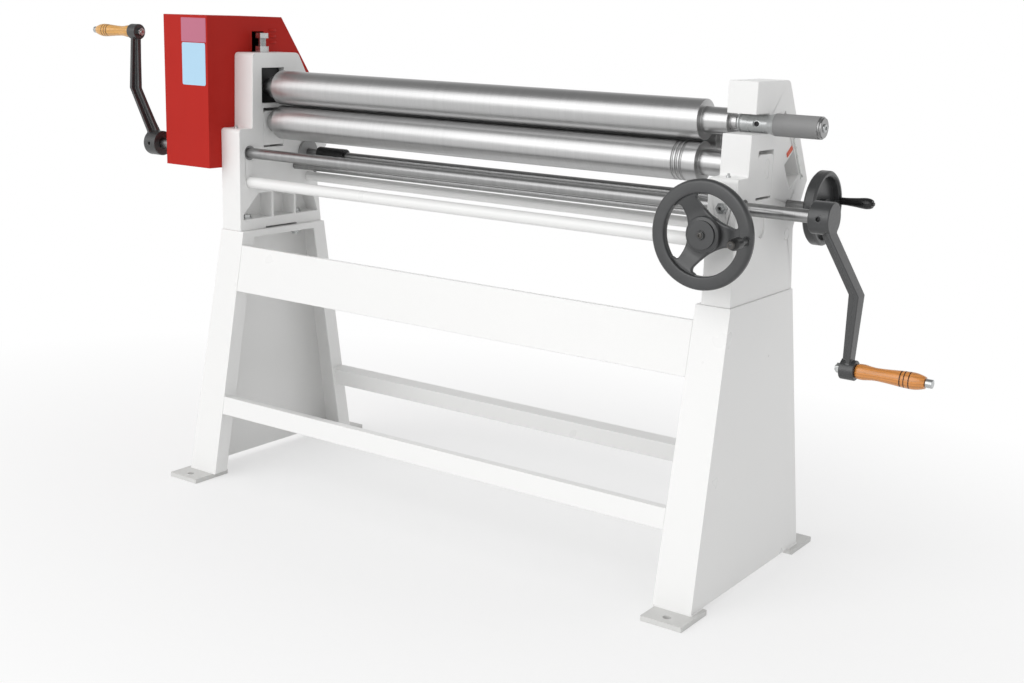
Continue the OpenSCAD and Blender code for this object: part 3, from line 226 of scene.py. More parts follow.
@cache
def group_for(effect):
    """The shared node group of an effect: position and setting in; tone, gloss and height out."""
    recipe, title, kind, usual = EFFECTS[effect]
    tree = bpy.data.node_groups.new(recipe.__name__.replace("_", " "), "ShaderNodeTree")
    tree.interface.new_socket("Position", in_out="INPUT", socket_type=VECTOR)
    tree.interface.new_socket(title, in_out="INPUT", socket_type=kind).default_value = usual
    outputs = ("Tone", "Gloss", "Height")
    for name in outputs:
        tree.interface.new_socket(name, in_out="OUTPUT", socket_type=NUMBER)
    start, end = tree.nodes.new("NodeGroupInput"), tree.nodes.new("NodeGroupOutput")
    feed(tree, end, dict(zip(outputs, recipe(tree, start.outputs[0], start.outputs[1]))))
    return tree


COAT_GLOSS = 0.12


def finish(name, effect, base, spread, gloss, bump, depth, setting, metal=0, coat=0, shine=0.5):
    """A material whose colour, gloss and relief follow one of the shared effects."""
    material = bpy.data.materials.new(name)
    material.use_nodes = True
    tree = material.node_tree
    marks = add(tree, "ShaderNodeGroup", node_tree=group_for(effect))
    feed(tree, marks, {"Position": add(tree, "ShaderNodeTexCoord").outputs["Object"], 1: setting})
    mix = add(tree, "ShaderNodeMix", {"Factor": marks.outputs["Tone"]}, data_type="RGBA")
    dark, light = [s for s in mix.inputs if s.type == "RGBA"]
    dark.default_value = [part * (1 - spread) for part in base[:3]] + [1]
    light.default_value = [min(1, part * (1 + spread)) for part in base[:3]] + [1]
    relief = add(tree, "ShaderNodeBump", {"Strength": bump, "Distance": depth, "Height": marks.outputs["Height"]})
    feed(tree, tree.nodes["Principled BSDF"], {
        "Base Color": [s for s in mix.outputs if s.type == "RGBA"][0], "Metallic": metal, "Coat Weight": coat,
        "Coat Roughness": COAT_GLOSS, "Specular IOR Level": shine, "Normal": relief.outputs["Normal"],
        "Roughness": remap(tree, marks.outputs["Gloss"], 0, 1, *gloss),
    })
    return material


ALONG_X, ALONG_Y, ALONG_Z = (1, 0.015, 0.015), (0.015, 1, 0.015), (0.015, 0.015, 1)
GRAIN, BURNT_GRAIN = (0.08, 1, 1), (0.3, 1, 1)
# Name, effect, colour, spread of the tone, gloss, bump and its depth, the effect's setting, then metal, coat and shine
LOOKS = {
    "sheet_white": ("sheet white", "paint", "white_paint", 0.002, (0.27, 0.31), 0.03, 0.0002, 380),
    "cast_white": ("cast white", "cast", "white_paint", 0.008, (0.32, 0.42), 0.12, 0.0003, 190),
    "foot_white": ("foot white", "paint", "foot_paint", 0.03, (0.34, 0.46), 0.08, 0.0002, 300),
    "red": ("red powder coat", "paint", "red_paint", 0.05, (0.42, 0.52), 0.1, 0.0002, 520, 0, 0, 0.12),
    "grey": ("grey paint", "paint", "grey_paint", 0.05, (0.36, 0.46), 0.1, 0.0002, 420),
    "pointer": ("pointer paint", "paint", "pointer_paint", 0.06, (0.4, 0.5), 0.08, 0.0002, 500),
    "roll": ("polished roll", "turned", "roll_steel", 0.05, (0.29, 0.34), 0.012, 0.0001, ALONG_X, 1),
    "shaft_x": ("turned shaft along", "turned", "bright_steel", 0.12, (0.28, 0.36), 0.025, 0.0001, ALONG_X, 1),
    "shaft_y": ("turned shaft across", "turned", "bright_steel", 0.2, (0.24, 0.36), 0.06, 0.0001, ALONG_Y, 1),
    "shaft_z": ("turned screw", "turned", "bright_steel", 0.2, (0.24, 0.36), 0.06, 0.0001, ALONG_Z, 1),
    "sleeve": ("satin sleeve", "turned", "zinc", 0.1, (0.26, 0.36), 0.03, 0.0001, ALONG_X, 0.6),
    "zinc": ("zinc plate", "cast", "zinc", 0.1, (0.22, 0.36), 0.05, 0.0001, 700, 1),
    "scale": ("scale strip", "turned", "scale_metal", 0.06, (0.3, 0.42), 0.03, 0.0001, ALONG_Y, 0.6),
    "iron": ("dark cast iron", "cast", "dark_iron", 0.16, (0.3, 0.42), 0.25, 0.0003, 260, 0, 0, 0.75),
    "gear": ("gear iron", "cast", "gear_iron", 0.2, (0.34, 0.5), 0.2, 0.0003, 300, 0.85),
    "black_iron": ("black iron", "cast", "black_iron", 0.25, (0.4, 0.55), 0.25, 0.0003, 260, 0.2),
    "bronze": ("bronze", "turned", "bronze", 0.12, (0.24, 0.36), 0.05, 0.0001, ALONG_X, 1),
    "plastic": ("black plastic", "paint", "black_plastic", 0.2, (0.26, 0.36), 0.12, 0.0002, 900),
    "grip": ("grey grip sleeve", "cast", "grey_grip", 0.06, (0.46, 0.6), 0.3, 0.0003, 900),
    "warm_wood": ("warm wood", "wood", "warm_wood", 0.17, (0.26, 0.4), 0.12, 0.0002, GRAIN, 0, 0.5),
    "pale_wood": ("pale wood", "wood", "pale_wood", 0.14, (0.3, 0.44), 0.12, 0.0002, GRAIN, 0, 0.4),
    "burnt": ("burnt wood", "wood", "burnt_wood", 0.3, (0.5, 0.65), 0.2, 0.0002, BURNT_GRAIN),
    "rose": ("rose plate", "paint", "rose_plate", 0.03, (0.3, 0.38), 0.03, 0.0002, 300),
    "pale": ("pale plate", "paint", "pale_plate", 0.02, (0.26, 0.34), 0.03, 0.0002, 300),
}


@cache
def finishes():
    """Every finish of the machine, from the colours in the panel."""
    tint = bpy.context.scene.roller_colours
    return {key: finish(name, effect, getattr(tint, shade), *rest)
            for key, (name, effect, shade, *rest) in LOOKS.items()}


# Edges of the solids

def geometry_group(name):
    tree = bpy.data.node_groups.new(name, "GeometryNodeTree")
    tree.interface.new_socket("Geometry", in_out="INPUT", socket_type="NodeSocketGeometry")
    tree.interface.new_socket("Geometry", in_out="OUTPUT", socket_type="NodeSocketGeometry")
    return tree, tree.nodes.new("NodeGroupInput"), tree.nodes.new("NodeGroupOutput")


def chain(tree, nodes):
    """Joins nodes in a row by their geometry sockets."""
    for before, after in zip(nodes, nodes[1:]):
        tree.links.new(before.outputs[0], after.inputs[0])


WELD_REACH = 0.01 * MM
SHARP_ABOVE = math.radians(48)


@cache
def joined_group():
    """Joins the faces of a solid into one skin that can be rounded."""
    tree, start, end = geometry_group("join faces")
    merge = add(tree, "GeometryNodeMergeByDistance", {"Distance": WELD_REACH})
    plain = add(tree, "GeometryNodeRemoveAttribute", {"Name": "custom_normal"})
    smooth = add(tree, "GeometryNodeSetShadeSmooth", {"Shade Smooth": True}, domain="FACE")
    chain(tree, [start, merge, plain, smooth, end])
    return tree


@cache
def sharp_group():
    """Keeps a crease only where two faces meet at a wide angle."""
    tree, start, end = geometry_group("keep creases")
    angle = add(tree, "GeometryNodeInputMeshEdgeAngle").outputs["Unsigned Angle"]
    wide = add(tree, "FunctionNodeCompare", {0: angle, 1: SHARP_ABOVE}, data_type="FLOAT", operation="GREATER_THAN")
    crease = add(tree, "GeometryNodeSetShadeSmooth", {"Shade Smooth": False, "Selection": wide.outputs[0]},
                 domain="EDGE")
    chain(tree, [start, crease, end])
    return tree


FLAT_ANGLE = math.radians(0.4)
EDGE_ANGLE = math.radians(38)


def modify(obj, title, kind, **settings):
    modifier = obj.modifiers.new(title, kind)
    for key, value in settings.items():
        setattr(modifier, key, value)


def soften(obj, radius, steps, flat):
    """Rounds an object's edges without touching its own mesh; flat joins the triangles of its plane faces first."""
    modify(obj, "join faces", "NODES", node_group=joined_group())
    if flat:
        modify(obj, "flat faces", "DECIMATE", decimate_type="DISSOLVE", angle_limit=FLAT_ANGLE)
    modify(obj, "round edges", "BEVEL", width=radius, segments=steps, limit_method="ANGLE", angle_limit=EDGE_ANGLE,
           use_clamp_overlap=False, miter_outer="MITER_ARC")
    modify(obj, "keep creases", "NODES", node_group=sharp_group())
    modify(obj, "even shading", "WEIGHTED_NORMAL", keep_sharp=True)


def paint_node(name, material, radius, steps=3, flat=False):
    """Gives a solid its finish and, with a radius, its rounded edges."""
    obj = NODES[name]
    for slot in obj.material_slots:
        slot.material = material
    if not obj.material_slots:
        obj.data.materials.append(material)
    if radius > 0:
        soften(obj, radius, steps, flat)


# New pieces

def new_piece(name, mesh_maker, material, body, replaced):
    """Links a mesh made by a bmesh function and sets it on its body."""
    mesh = bpy.data.meshes.new(name)
    build = bmesh.new()
    mesh_maker(build)
    bmesh.ops.recalc_face_normals(build, faces=build.faces)
    for face in build.faces:
        face.smooth = True
    build.to_mesh(mesh)
    build.free()
    obj = bpy.data.objects.new(name, mesh)
    bpy.context.scene.collection.objects.link(obj)
    mesh.materials.append(material)
    modify(obj, "keep creases", "NODES", node_group=sharp_group())
    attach(obj, body)
    if replaced:
        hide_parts(*replaced)


def axis_frame(origin, direction):
    """A frame whose Z runs along a direction from an origin."""
    turn = UP.rotation_difference(Vector(direction).normalized()).to_matrix().to_4x4()
    return Matrix.Translation(Vector(origin)) @ turn


def turned(build, profile, origin, direction, steps=0):
    """A turned form from (radius, distance along) in millimetres; its ends close on the axis or on each other."""
    steps = steps or bpy.context.scene.roller_sizes.lathe_steps
    place = axis_frame(origin, direction)
    rings = []
    for radius, along in ((r * MM, d * MM) for r, d in profile):
        if not radius:
            rings.append([build.verts.new(place @ Vector((0, 0, along)))])
            continue
        rings.append([
            build.verts.new(place @ Vector((radius * math.cos(a), radius * math.sin(a), along)))
            for a in (2 * math.pi * i / steps for i in range(steps))
        ])
    pairs = list(zip(rings, rings[1:]))
    if len(rings[0]) > 1 and len(rings[-1]) > 1:
        pairs.append((rings[-1], rings[0]))
    for low, high in pairs:
        for i in range(steps):
            j = (i + 1) % steps
            if len(low) == 1:
                build.faces.new((low[0], high[j], high[i]))
            elif len(high) == 1:
                build.faces.new((low[i], low[j], high[0]))
            else:
                build.faces.new((low[i], low[j], high[j], high[i]))


def smooth_profile(points, count):
    """Even samples of a smooth line through profile points given as (distance, radius)."""
    samples = []
    first, last = points[0][0], points[-1][0]
    for step in range(count + 1):
        at = first + (last - first) * step / count
        index = max(i for i in range(len(points) - 1) if points[i][0] <= at)
        p0 = points[max(index - 1, 0)]
        p1, p2 = points[index], points[index + 1]
        p3 = points[min(index + 2, len(points) - 1)]
        t = (at - p1[0]) / (p2[0] - p1[0])
        m1 = (p2[1] - p0[1]) / (p2[0] - p0[0]) * (p2[0] - p1[0])
        m2 = (p3[1] - p1[1]) / (p3[0] - p1[0]) * (p2[0] - p1[0])
        value = ((2 * t ** 3 - 3 * t ** 2 + 1) * p1[1] + (t ** 3 - 2 * t ** 2 + t) * m1
                 + (3 * t ** 2 - 2 * t ** 3) * p2[1] + (t ** 3 - t ** 2) * m2)
        samples.append((at, value))
    return samples


def block(build, low, high, place):
    """A block between two corners of a frame."""
    corners = [Vector((x, y, z)) for x in (low[0], high[0]) for y in (low[1], high[1]) for z in (low[2], high[2])]
    verts = [build.verts.new(place @ corner) for corner in corners]
    for face in ((0, 1, 3, 2), (4, 6, 7, 5), (0, 4, 5, 1), (2, 3, 7, 6), (0, 2, 6, 4), (1, 5, 7, 3)):
        build.faces.new([verts[i] for i in face])


def bored(build, points, count, bore, origin, direction):
    """A turned form with a hole; its smooth outline is (distance along, radius) in millimetres."""
    outer = [(radius, at) for at, radius in smooth_profile(points, count)]
    turned(build, [(bore, points[0][0]), *outer, (bore, points[-1][0])], origin, direction)


def skin(build, rows):
    """Faces between rows of points that each run round a section, with both ends filled."""
    count = len(rows[0])
    for low, high in zip(rows, rows[1:]):
        for k in range(count):
            j = (k + 1) % count
            build.faces.new((low[k], low[j], high[j], high[k]))
    build.faces.new(rows[0])
    build.faces.new(list(reversed(rows[-1])))


def cover_plate(build, low, high, corner, thick, steps=6):
    """A plate with round corners on the front of the gear cover: corners as (across, height), in millimetres."""
    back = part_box("gear_cover")[0].y
    outline = []
    for right, top, start in ((1, 1, 0), (0, 1, 90), (0, 0, 180), (1, 0, 270)):
        x = high[0] - corner if right else low[0] + corner
        z = high[1] - corner if top else low[1] + corner
        for i in range(steps + 1):
            a = math.radians(start + 90 * i / steps)
            outline.append((x + corner * math.cos(a), z + corner * math.sin(a)))
    skin(build, [[build.verts.new((x * MM, y, z * MM)) for x, z in outline] for y in (back, back - thick * MM)])


def bead(build, start, end, radius, ripple=0.22, pitch=3.2 * MM, around=10):
    """A weld bead with overlapping ripples between two points."""
    start, end = Vector(start), Vector(end)
    span = (end - start).length
    place = axis_frame(start, end - start)
    count = max(4, int(span / pitch * 3))
    rings = []
    for i in range(count + 1):
        along = span * i / count
        swell = radius * (1 + ripple * (math.fmod(along / pitch, 1) - 0.5))
        swell *= min(1, (min(i, count - i) + 0.35) / 1.5)
        rings.append([
            build.verts.new(place @ Vector((swell * math.cos(a), swell * math.sin(a), along)))
            for a in (2 * math.pi * k / around for k in range(around))
        ])
    skin(build, rings)


def thread(build, origin, direction, radius, pitch, span, depth, per_turn=28):
    """A screw thread: one ridge wound round a rod."""
    place = axis_frame(origin, direction)
    count = int(span / pitch * per_turn)
    sunk = -0.3 * MM
    rows = []
    for i in range(count + 1):
        a = 2 * math.pi * i / per_turn
        along = span * i / count
        fade = min(1, min(i, count - i) / (0.5 * per_turn))
        rows.append([
            build.verts.new(place @ Vector((r * math.cos(a), r * math.sin(a), along + shift * pitch)))
            for r, shift in ((radius + sunk, -0.5), (radius + depth * fade, 0), (radius + sunk, 0.5))
        ])
    skin(build, rows)


def spot_on(name, x=0, y=0, z=0):
    """A point of a solid's box: on each axis -1 is the low side, 0 the middle and 1 the high side."""
    low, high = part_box(name)
    return Vector([(a + b + side * (b - a)) / 2 for a, b, side in zip(low, high, (x, y, z))])


# Operators, one for each group of pieces

def dress(group, context):
    """Paints the solids of an operator's group and adds its pieces, each made by the method of its name."""
    looks, sizes = finishes(), context.scene.roller_sizes
    for names, look, edge, *rest in group.PAINT:
        for name in names.split():
            paint_node(name, looks[look], getattr(sizes, edge) if edge else 0, *rest)
    for name, look, body, slot, *replaced in group.ADD:
        new_piece(name, getattr(group, name), looks[look], body, replaced)
    return {"FINISHED"}


class ROLLER_OT_stand(bpy.types.Operator):
    """Paint the legs, foot plates and beams, and add their weld beads"""

    bl_idname = "roller.stand"
    bl_label = "Stand"

    BEAMS = "front_upper_beam front_lower_beam rear_lower_beam"
    PAINT = (("left_leg right_leg " + BEAMS, "sheet_white", "sheet_edge"), ("foot_plates", "foot_white", "sheet_edge"))
    ADD = (("beam_welds", "sheet_white", "frame", "white_paint"), ("foot_welds", "sheet_white", "frame", "white_paint"))
    LEG_H, LEG_TOP_HALF, LEG_FOOT_HALF = 652 * MM, 158 * MM, 275 * MM
    BEAM_DEPTH, WELD_START, PLATE_L = 38 * MM, 3 * MM, 117 * MM

    def execute(self, context):
        return dress(self, context)

    def beam_welds(self, build):
        radius = bpy.context.scene.roller_sizes.weld_size
        lean = math.atan((self.LEG_FOOT_HALF - self.LEG_TOP_HALF) / self.LEG_H)
        leg_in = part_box("right_leg")[0].x
        for name in self.BEAMS.split():
            low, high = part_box(name)
            face = -1 if low.y < 0 else 1
            height = (high.z - low.z - self.BEAM_DEPTH * math.sin(lean)) / math.cos(lean)
            up = Vector((0, -face * math.sin(lean), math.cos(lean)))
            inward = Vector((0, -face * math.cos(lean), -math.sin(lean)))
            centre = (low + high) / 2
            for side in (-1, 1):
                end = Vector((side * leg_in, centre.y, centre.z))
                corner = {(v, d): end + up * (v * height / 2) + inward * (d * self.BEAM_DEPTH / 2)
                          for v in (-1, 1) for d in (-1, 1)}
                for v in (-1, 1):
                    bead(build, corner[v, -1] + inward * self.WELD_START, corner[v, 1], radius)
                bead(build, corner[-1, 1], corner[1, 1], radius)

    def foot_welds(self, build):
        radius = bpy.context.scene.roller_sizes.weld_size
        low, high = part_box("right_leg")
        plate_low, plate_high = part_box("foot_plates")
        foot = plate_high.z
        for side in (-1, 1):
            inner, outer = side * low.x, side * high.x
            for y_out, y_in in ((low.y, plate_low.y + self.PLATE_L), (high.y, plate_high.y - self.PLATE_L)):
                bead(build, (inner, y_out, foot), (outer, y_out, foot), radius)
                bead(build, (outer, y_out, foot), (outer, y_in, foot), radius)


class ROLLER_OT_housings(bpy.types.Operator):
    """Paint the roll housings and tie rods and finish their bolts, nipples and scale"""

    bl_idname = "roller.housings"
    bl_label = "Housings"

    PAINT = (
        ("left_housing right_housing", "cast_white", "casting_edge"),
        ("front_tie_rod rear_tie_rod", "sheet_white", "turned_edge"),
        ("housing_bolts pivot_bolt pivot_lock_nut", "zinc", "fine_edge"),
        ("clamp_screw", "sleeve", "fine_edge"),
        ("position_scale", "scale", None),
        ("gearing_covers", "grey", "turned_edge"),
    )
    ADD = (
        ("housing_washers", "zinc", "frame", "zinc"),
        ("pivot_thread", "zinc", "frame", "zinc"),
        ("scale_marks", "plastic", "frame", "black_plastic"),
        # painted shade: a black cup lines the clamp screw's socket so that the hole reads dark
        ("clamp_socket", "black_iron", "frame", "black_iron"),
        ("window_plate", "cast_white", "frame", "white_paint"),
        ("scale_screws", "zinc", "frame", "zinc"),
        ("oil_nipple_heads", "zinc", "frame", "zinc", "oil_nipples"),
    )
    BOLT_X, BOLT_Y, FLANGE_TOP = 714 * MM, (-114 * MM, 75 * MM), 694 * MM
    HOUSING_MID, PIVOT_R, HEAD_H, THREAD_DEPTH = 726 * MM, 10 * MM, 14 * MM, 0.9 * MM
    SLIDE, REAR_AXIS = math.radians(57), (68 * MM, 1000 * MM)
    WINDOW_AT, WINDOW_W, WINDOW_H = (-27 * MM, 825 * MM), 33.4 * MM, 49.4 * MM
    WINDOW_DEEP, WINDOW_T = 5 * MM, 1.5 * MM
    TICKS, TICK_EDGE, TICK_HALF = (16 * MM, 118 * MM), -31.5 * MM, 0.45 * MM
    LONG_TICK, SHORT_TICK, LONG_EVERY = 9 * MM, 5.5 * MM, 5
    SCALE_SCREWS, SCALE_MID = (13 * MM, 121 * MM), -38 * MM

    def execute(self, context):
        return dress(self, context)

    def housing_washers(self, build):
        hole, rim, thick = 8.4, 16, 2.4
        for x in (-self.BOLT_X, self.BOLT_X):
            for y in self.BOLT_Y:
                turned(build, [(hole, 0), (rim, 0), (rim, thick), (hole, thick)], (x, y, self.FLANGE_TOP), UP)

    # Painted shade: a black iron cup lines the clamp screw's hex socket in place of the shade deep in the hole.
    def clamp_socket(self, build):
        turned(build, [(0, -6), (4.4, -6), (4.4, 0.3), (3.8, 0.6), (3.4, -4), (0, -4)], spot_on("clamp_screw", y=-1),
               AHEAD)

    def window_plate(self, build):
        """Oval plate that closes the right housing's window a little below its face."""
        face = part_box("right_housing")[1].x - self.WINDOW_DEEP
        y, z = self.WINDOW_AT
        half, rise, steps = self.WINDOW_W / 2, (self.WINDOW_H - self.WINDOW_W) / 2, 20
        outline = [(y + half * math.cos(a), z + shift + half * math.sin(a))
                   for start, shift in ((0, rise), (math.pi, -rise))
                   for a in (start + math.pi * i / steps for i in range(steps + 1))]
        skin(build, [[build.verts.new((x, *spot)) for spot in outline] for x in (face, face - self.WINDOW_T)])

    def pivot_thread(self, build):
        pitch = bpy.context.scene.roller_sizes.thread_pitch
        start = spot_on("pivot_bolt")
        start.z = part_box("pivot_lock_nut")[1].z
        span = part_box("pivot_bolt")[1].z - self.HEAD_H - start.z
        thread(build, start, UP, self.PIVOT_R, pitch, span, self.THREAD_DEPTH)

    def slide_frame(self):
        """Frame on the right housing's outer face: Z down the rear slide, Y across it."""
        level, fall = math.cos(self.SLIDE), math.sin(self.SLIDE)
        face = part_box("position_scale")[1].x
        y, z = self.REAR_AXIS
        return Matrix(((1, 0, 0, face), (0, -fall, level, y), (0, -level, -fall, z), (0, 0, 0, 1)))

    def scale_marks(self, build):
        step = bpy.context.scene.roller_sizes.tick_step
        place, (first, last) = self.slide_frame(), self.TICKS
        for i in range(int((last - first) / step) + 1):
            along = first + i * step
            reach = self.SHORT_TICK if i % self.LONG_EVERY else self.LONG_TICK
            block(build, (-0.2 * MM, self.TICK_EDGE - reach, along - self.TICK_HALF),
                  (0.25 * MM, self.TICK_EDGE - 0.8 * MM, along + self.TICK_HALF), place)

    def scale_screws(self, build):
        for along in self.SCALE_SCREWS:
            turned(build, [(0, -0.4), (3, -0.4), (3, 0.6), (2.2, 1.4), (1.1, 1.7), (1, 0.8), (0, 0.8)],
                   self.slide_frame() @ Vector((0, self.SCALE_MID, along)), ALONG)

    def oil_nipple_heads(self, build):
        spot = spot_on("oil_nipples", z=-1)
        for x in (-self.HOUSING_MID, self.HOUSING_MID):
            turned(build, [(0, 0), (5, 0), (5, 3.4), (4.4, 4), (2.6, 4.2), (2.2, 5.4), (3, 6.3), (3, 7.6), (2, 8.7),
                           (0, 9)], (x, spot.y, spot.z), UP)


class ROLLER_OT_rolls(bpy.types.Operator):
    """Finish the three rolls, their bearings and the release handle"""

    bl_idname = "roller.rolls"
    bl_label = "Rolls"

    PAINT = (
        ("upper_roll lower_roll rear_roll", "roll", "roll_edge", 2),
        ("pivot_block", "black_iron", "wheel_edge", 3, True),
        ("release_sleeve", "sleeve", "fine_edge"),
        ("release_grip", "grip", "turned_edge"),
        ("release_cap", "shaft_x", "turned_edge"),
        ("lower_left_block lower_right_block rear_left_block rear_right_block", "cast_white", "turned_edge"),
        ("pointer", "pointer", None),
    )
    ADD = (
        ("release_end_screw", "zinc", "release_handle", "zinc"),
        ("release_screw_ring", "zinc", "release_handle", "zinc"),
        ("release_screw", "black_iron", "release_handle", "black_iron"),
    )
    SCREW_X, SCREW_FLOOR = 740 * MM, 15.9 * MM

    def execute(self, context):
        return dress(self, context)

    def screw_spot(self):
        """Floor of the screw's hole in the front of the release sleeve."""
        axis = spot_on("release_cap")
        return (self.SCREW_X, axis.y - self.SCREW_FLOOR, axis.z)

    def release_screw_ring(self, build):
        turned(build, [(5.7, 0), (7.8, 0), (7.8, 0.7), (7.4, 1), (5.7, 1)], self.screw_spot(), AHEAD)

    def release_screw(self, build):
        turned(build, [(0, 0), (5.6, 0), (5.6, 1.7), (5, 2.1), (3.2, 2.1), (3, 0.4), (0, 0.4)],
               self.screw_spot(), AHEAD)

    def release_end_screw(self, build):
        turned(build, [(0, -1), (9, -1), (9, 2), (8, 3), (4, 3), (4, 0.4), (0, 0.4)],
               spot_on("release_cap", x=1), ALONG)


class ROLLER_OT_drive(bpy.types.Operator):
    """Finish the gear cover, gears, crank shaft, cranks and wooden grips"""

    bl_idname = "roller.drive"
    bl_label = "Drive"

    PAINT = (
        ("gear_cover", "red", "cover_edge"),
        ("cover_screws gear_nut", "zinc", "fine_edge"),
        ("shaft_bushes crank_shaft drive_shaft", "shaft_x", "fine_edge"),
        ("drive_bush", "bronze", "fine_edge"),
        ("drive_pinion drive_gear transfer_gear lower_roll_gear", "gear", "fine_edge", 1),
        ("left_crank_arm right_crank_arm", "iron", "wheel_edge", 3, True),
        ("crank_set_screws", "black_iron", "fine_edge"),
        ("grip_pins", "zinc", "turned_edge"),
    )
    ADD = (
        ("left_wood_grip", "pale_wood", "left_grip", "pale_wood", "left_crank_grip"),
        ("left_grip_rings", "burnt", "left_grip", "pale_wood"),
        ("right_wood_grip", "warm_wood", "right_grip", "warm_wood", "right_crank_grip"),
        ("right_grip_rings", "burnt", "right_grip", "warm_wood"),
        ("cover_louvres", "red", "frame", "red_paint"),
        ("upper_blank_plate", "rose", "frame", "scale_metal"),
        ("lower_blank_plate", "pale", "frame", "scale_metal"),
    )
    # A grip, in millimetres: share of its length and radius there, and the shares at which its burnt rings lie
    GRIP = ((0, 13.6), (0.03, 15.8), (0.11, 16.2), (0.2, 14.4), (0.28, 13.4), (0.37, 13.7), (0.46, 14.4),
            (0.55, 15.4), (0.64, 16.4), (0.73, 17.1), (0.82, 17.4), (0.88, 16.6), (0.94, 14.8), (1, 12.2))
    GRIP_L, GRIP_STEPS, GRIP_BORE, GROOVE, GROOVE_HALF = 142, 96, 6.2, 0.7, 1.1
    RINGS, RING_HALF, RING_SUNK, RING_DEEP = (0.66, 0.72, 0.79), 1.15, 0.15, 1.2

    def execute(self, context):
        return dress(self, context)

    def grip_line(self):
        return smooth_profile([(at * self.GRIP_L, radius) for at, radius in self.GRIP], self.GRIP_STEPS)

    def grip_axis(self, node):
        """Inner end of a grip, its direction and its length in millimetres."""
        low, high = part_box(node)
        side = 1 if low.x > 0 else -1
        return spot_on(node, x=-side), ALONG * side, (high.x - low.x) / MM

    def grip(self, build, node):
        origin, direction, span = self.grip_axis(node)
        outer = []
        for at, radius in self.grip_line():
            near = min(abs(at - ring * span) for ring in self.RINGS)
            outer.append((radius - (self.GROOVE if near < self.GROOVE_HALF else 0), at))
        turned(build, [(self.GRIP_BORE, 0), *outer, (self.GRIP_BORE, span)], origin, direction)

    def rings(self, build, node):
        origin, direction, span = self.grip_axis(node)
        for ring in self.RINGS:
            at, half = ring * span, self.RING_HALF
            radius = min(self.grip_line(), key=lambda point: abs(point[0] - at))[1] - self.RING_SUNK
            inner = radius - self.RING_DEEP
            turned(build, [(inner, at - half), (radius, at - half), (radius, at + half), (inner, at + half)], origin,
                   direction)

    def left_wood_grip(self, build):
        self.grip(build, "left_crank_grip")

    def left_grip_rings(self, build):
        self.rings(build, "left_crank_grip")

    def right_wood_grip(self, build):
        self.grip(build, "right_crank_grip")

    def right_grip_rings(self, build):
        self.rings(build, "right_crank_grip")

    # Hoods of the louvres, in millimetres: section as (out, up), and along each hood (distance, share of the swell)
    LOUVRE_Z, LOUVRE_STEP, LOUVRES = 1159, 16, 3
    HOOD = ((0, 5), (1.4, 4.4), (2.6, 3), (3.3, 1), (3.6, -2), (2.9, -2), (2.4, 1.6), (0, 3.4))
    HOOD_ENDS = ((24.5, 0.35), (27, 1), (38, 1), (49, 1), (51.5, 0.35))

    def cover_louvres(self, build):
        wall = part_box("gear_cover")[1].x
        for i in range(self.LOUVRES):
            base = self.LOUVRE_Z + self.LOUVRE_STEP * i
            skin(build, [[build.verts.new((wall + x * swell * MM, y * MM, (base + z) * MM)) for x, z in self.HOOD]
                         for y, swell in self.HOOD_ENDS])

    def upper_blank_plate(self, build):
        cover_plate(build, (-858, 1158), (-765, 1220), 2, 0.5)

    def lower_blank_plate(self, build):
        cover_plate(build, (-856, 1046), (-768, 1156), 5, 0.7)


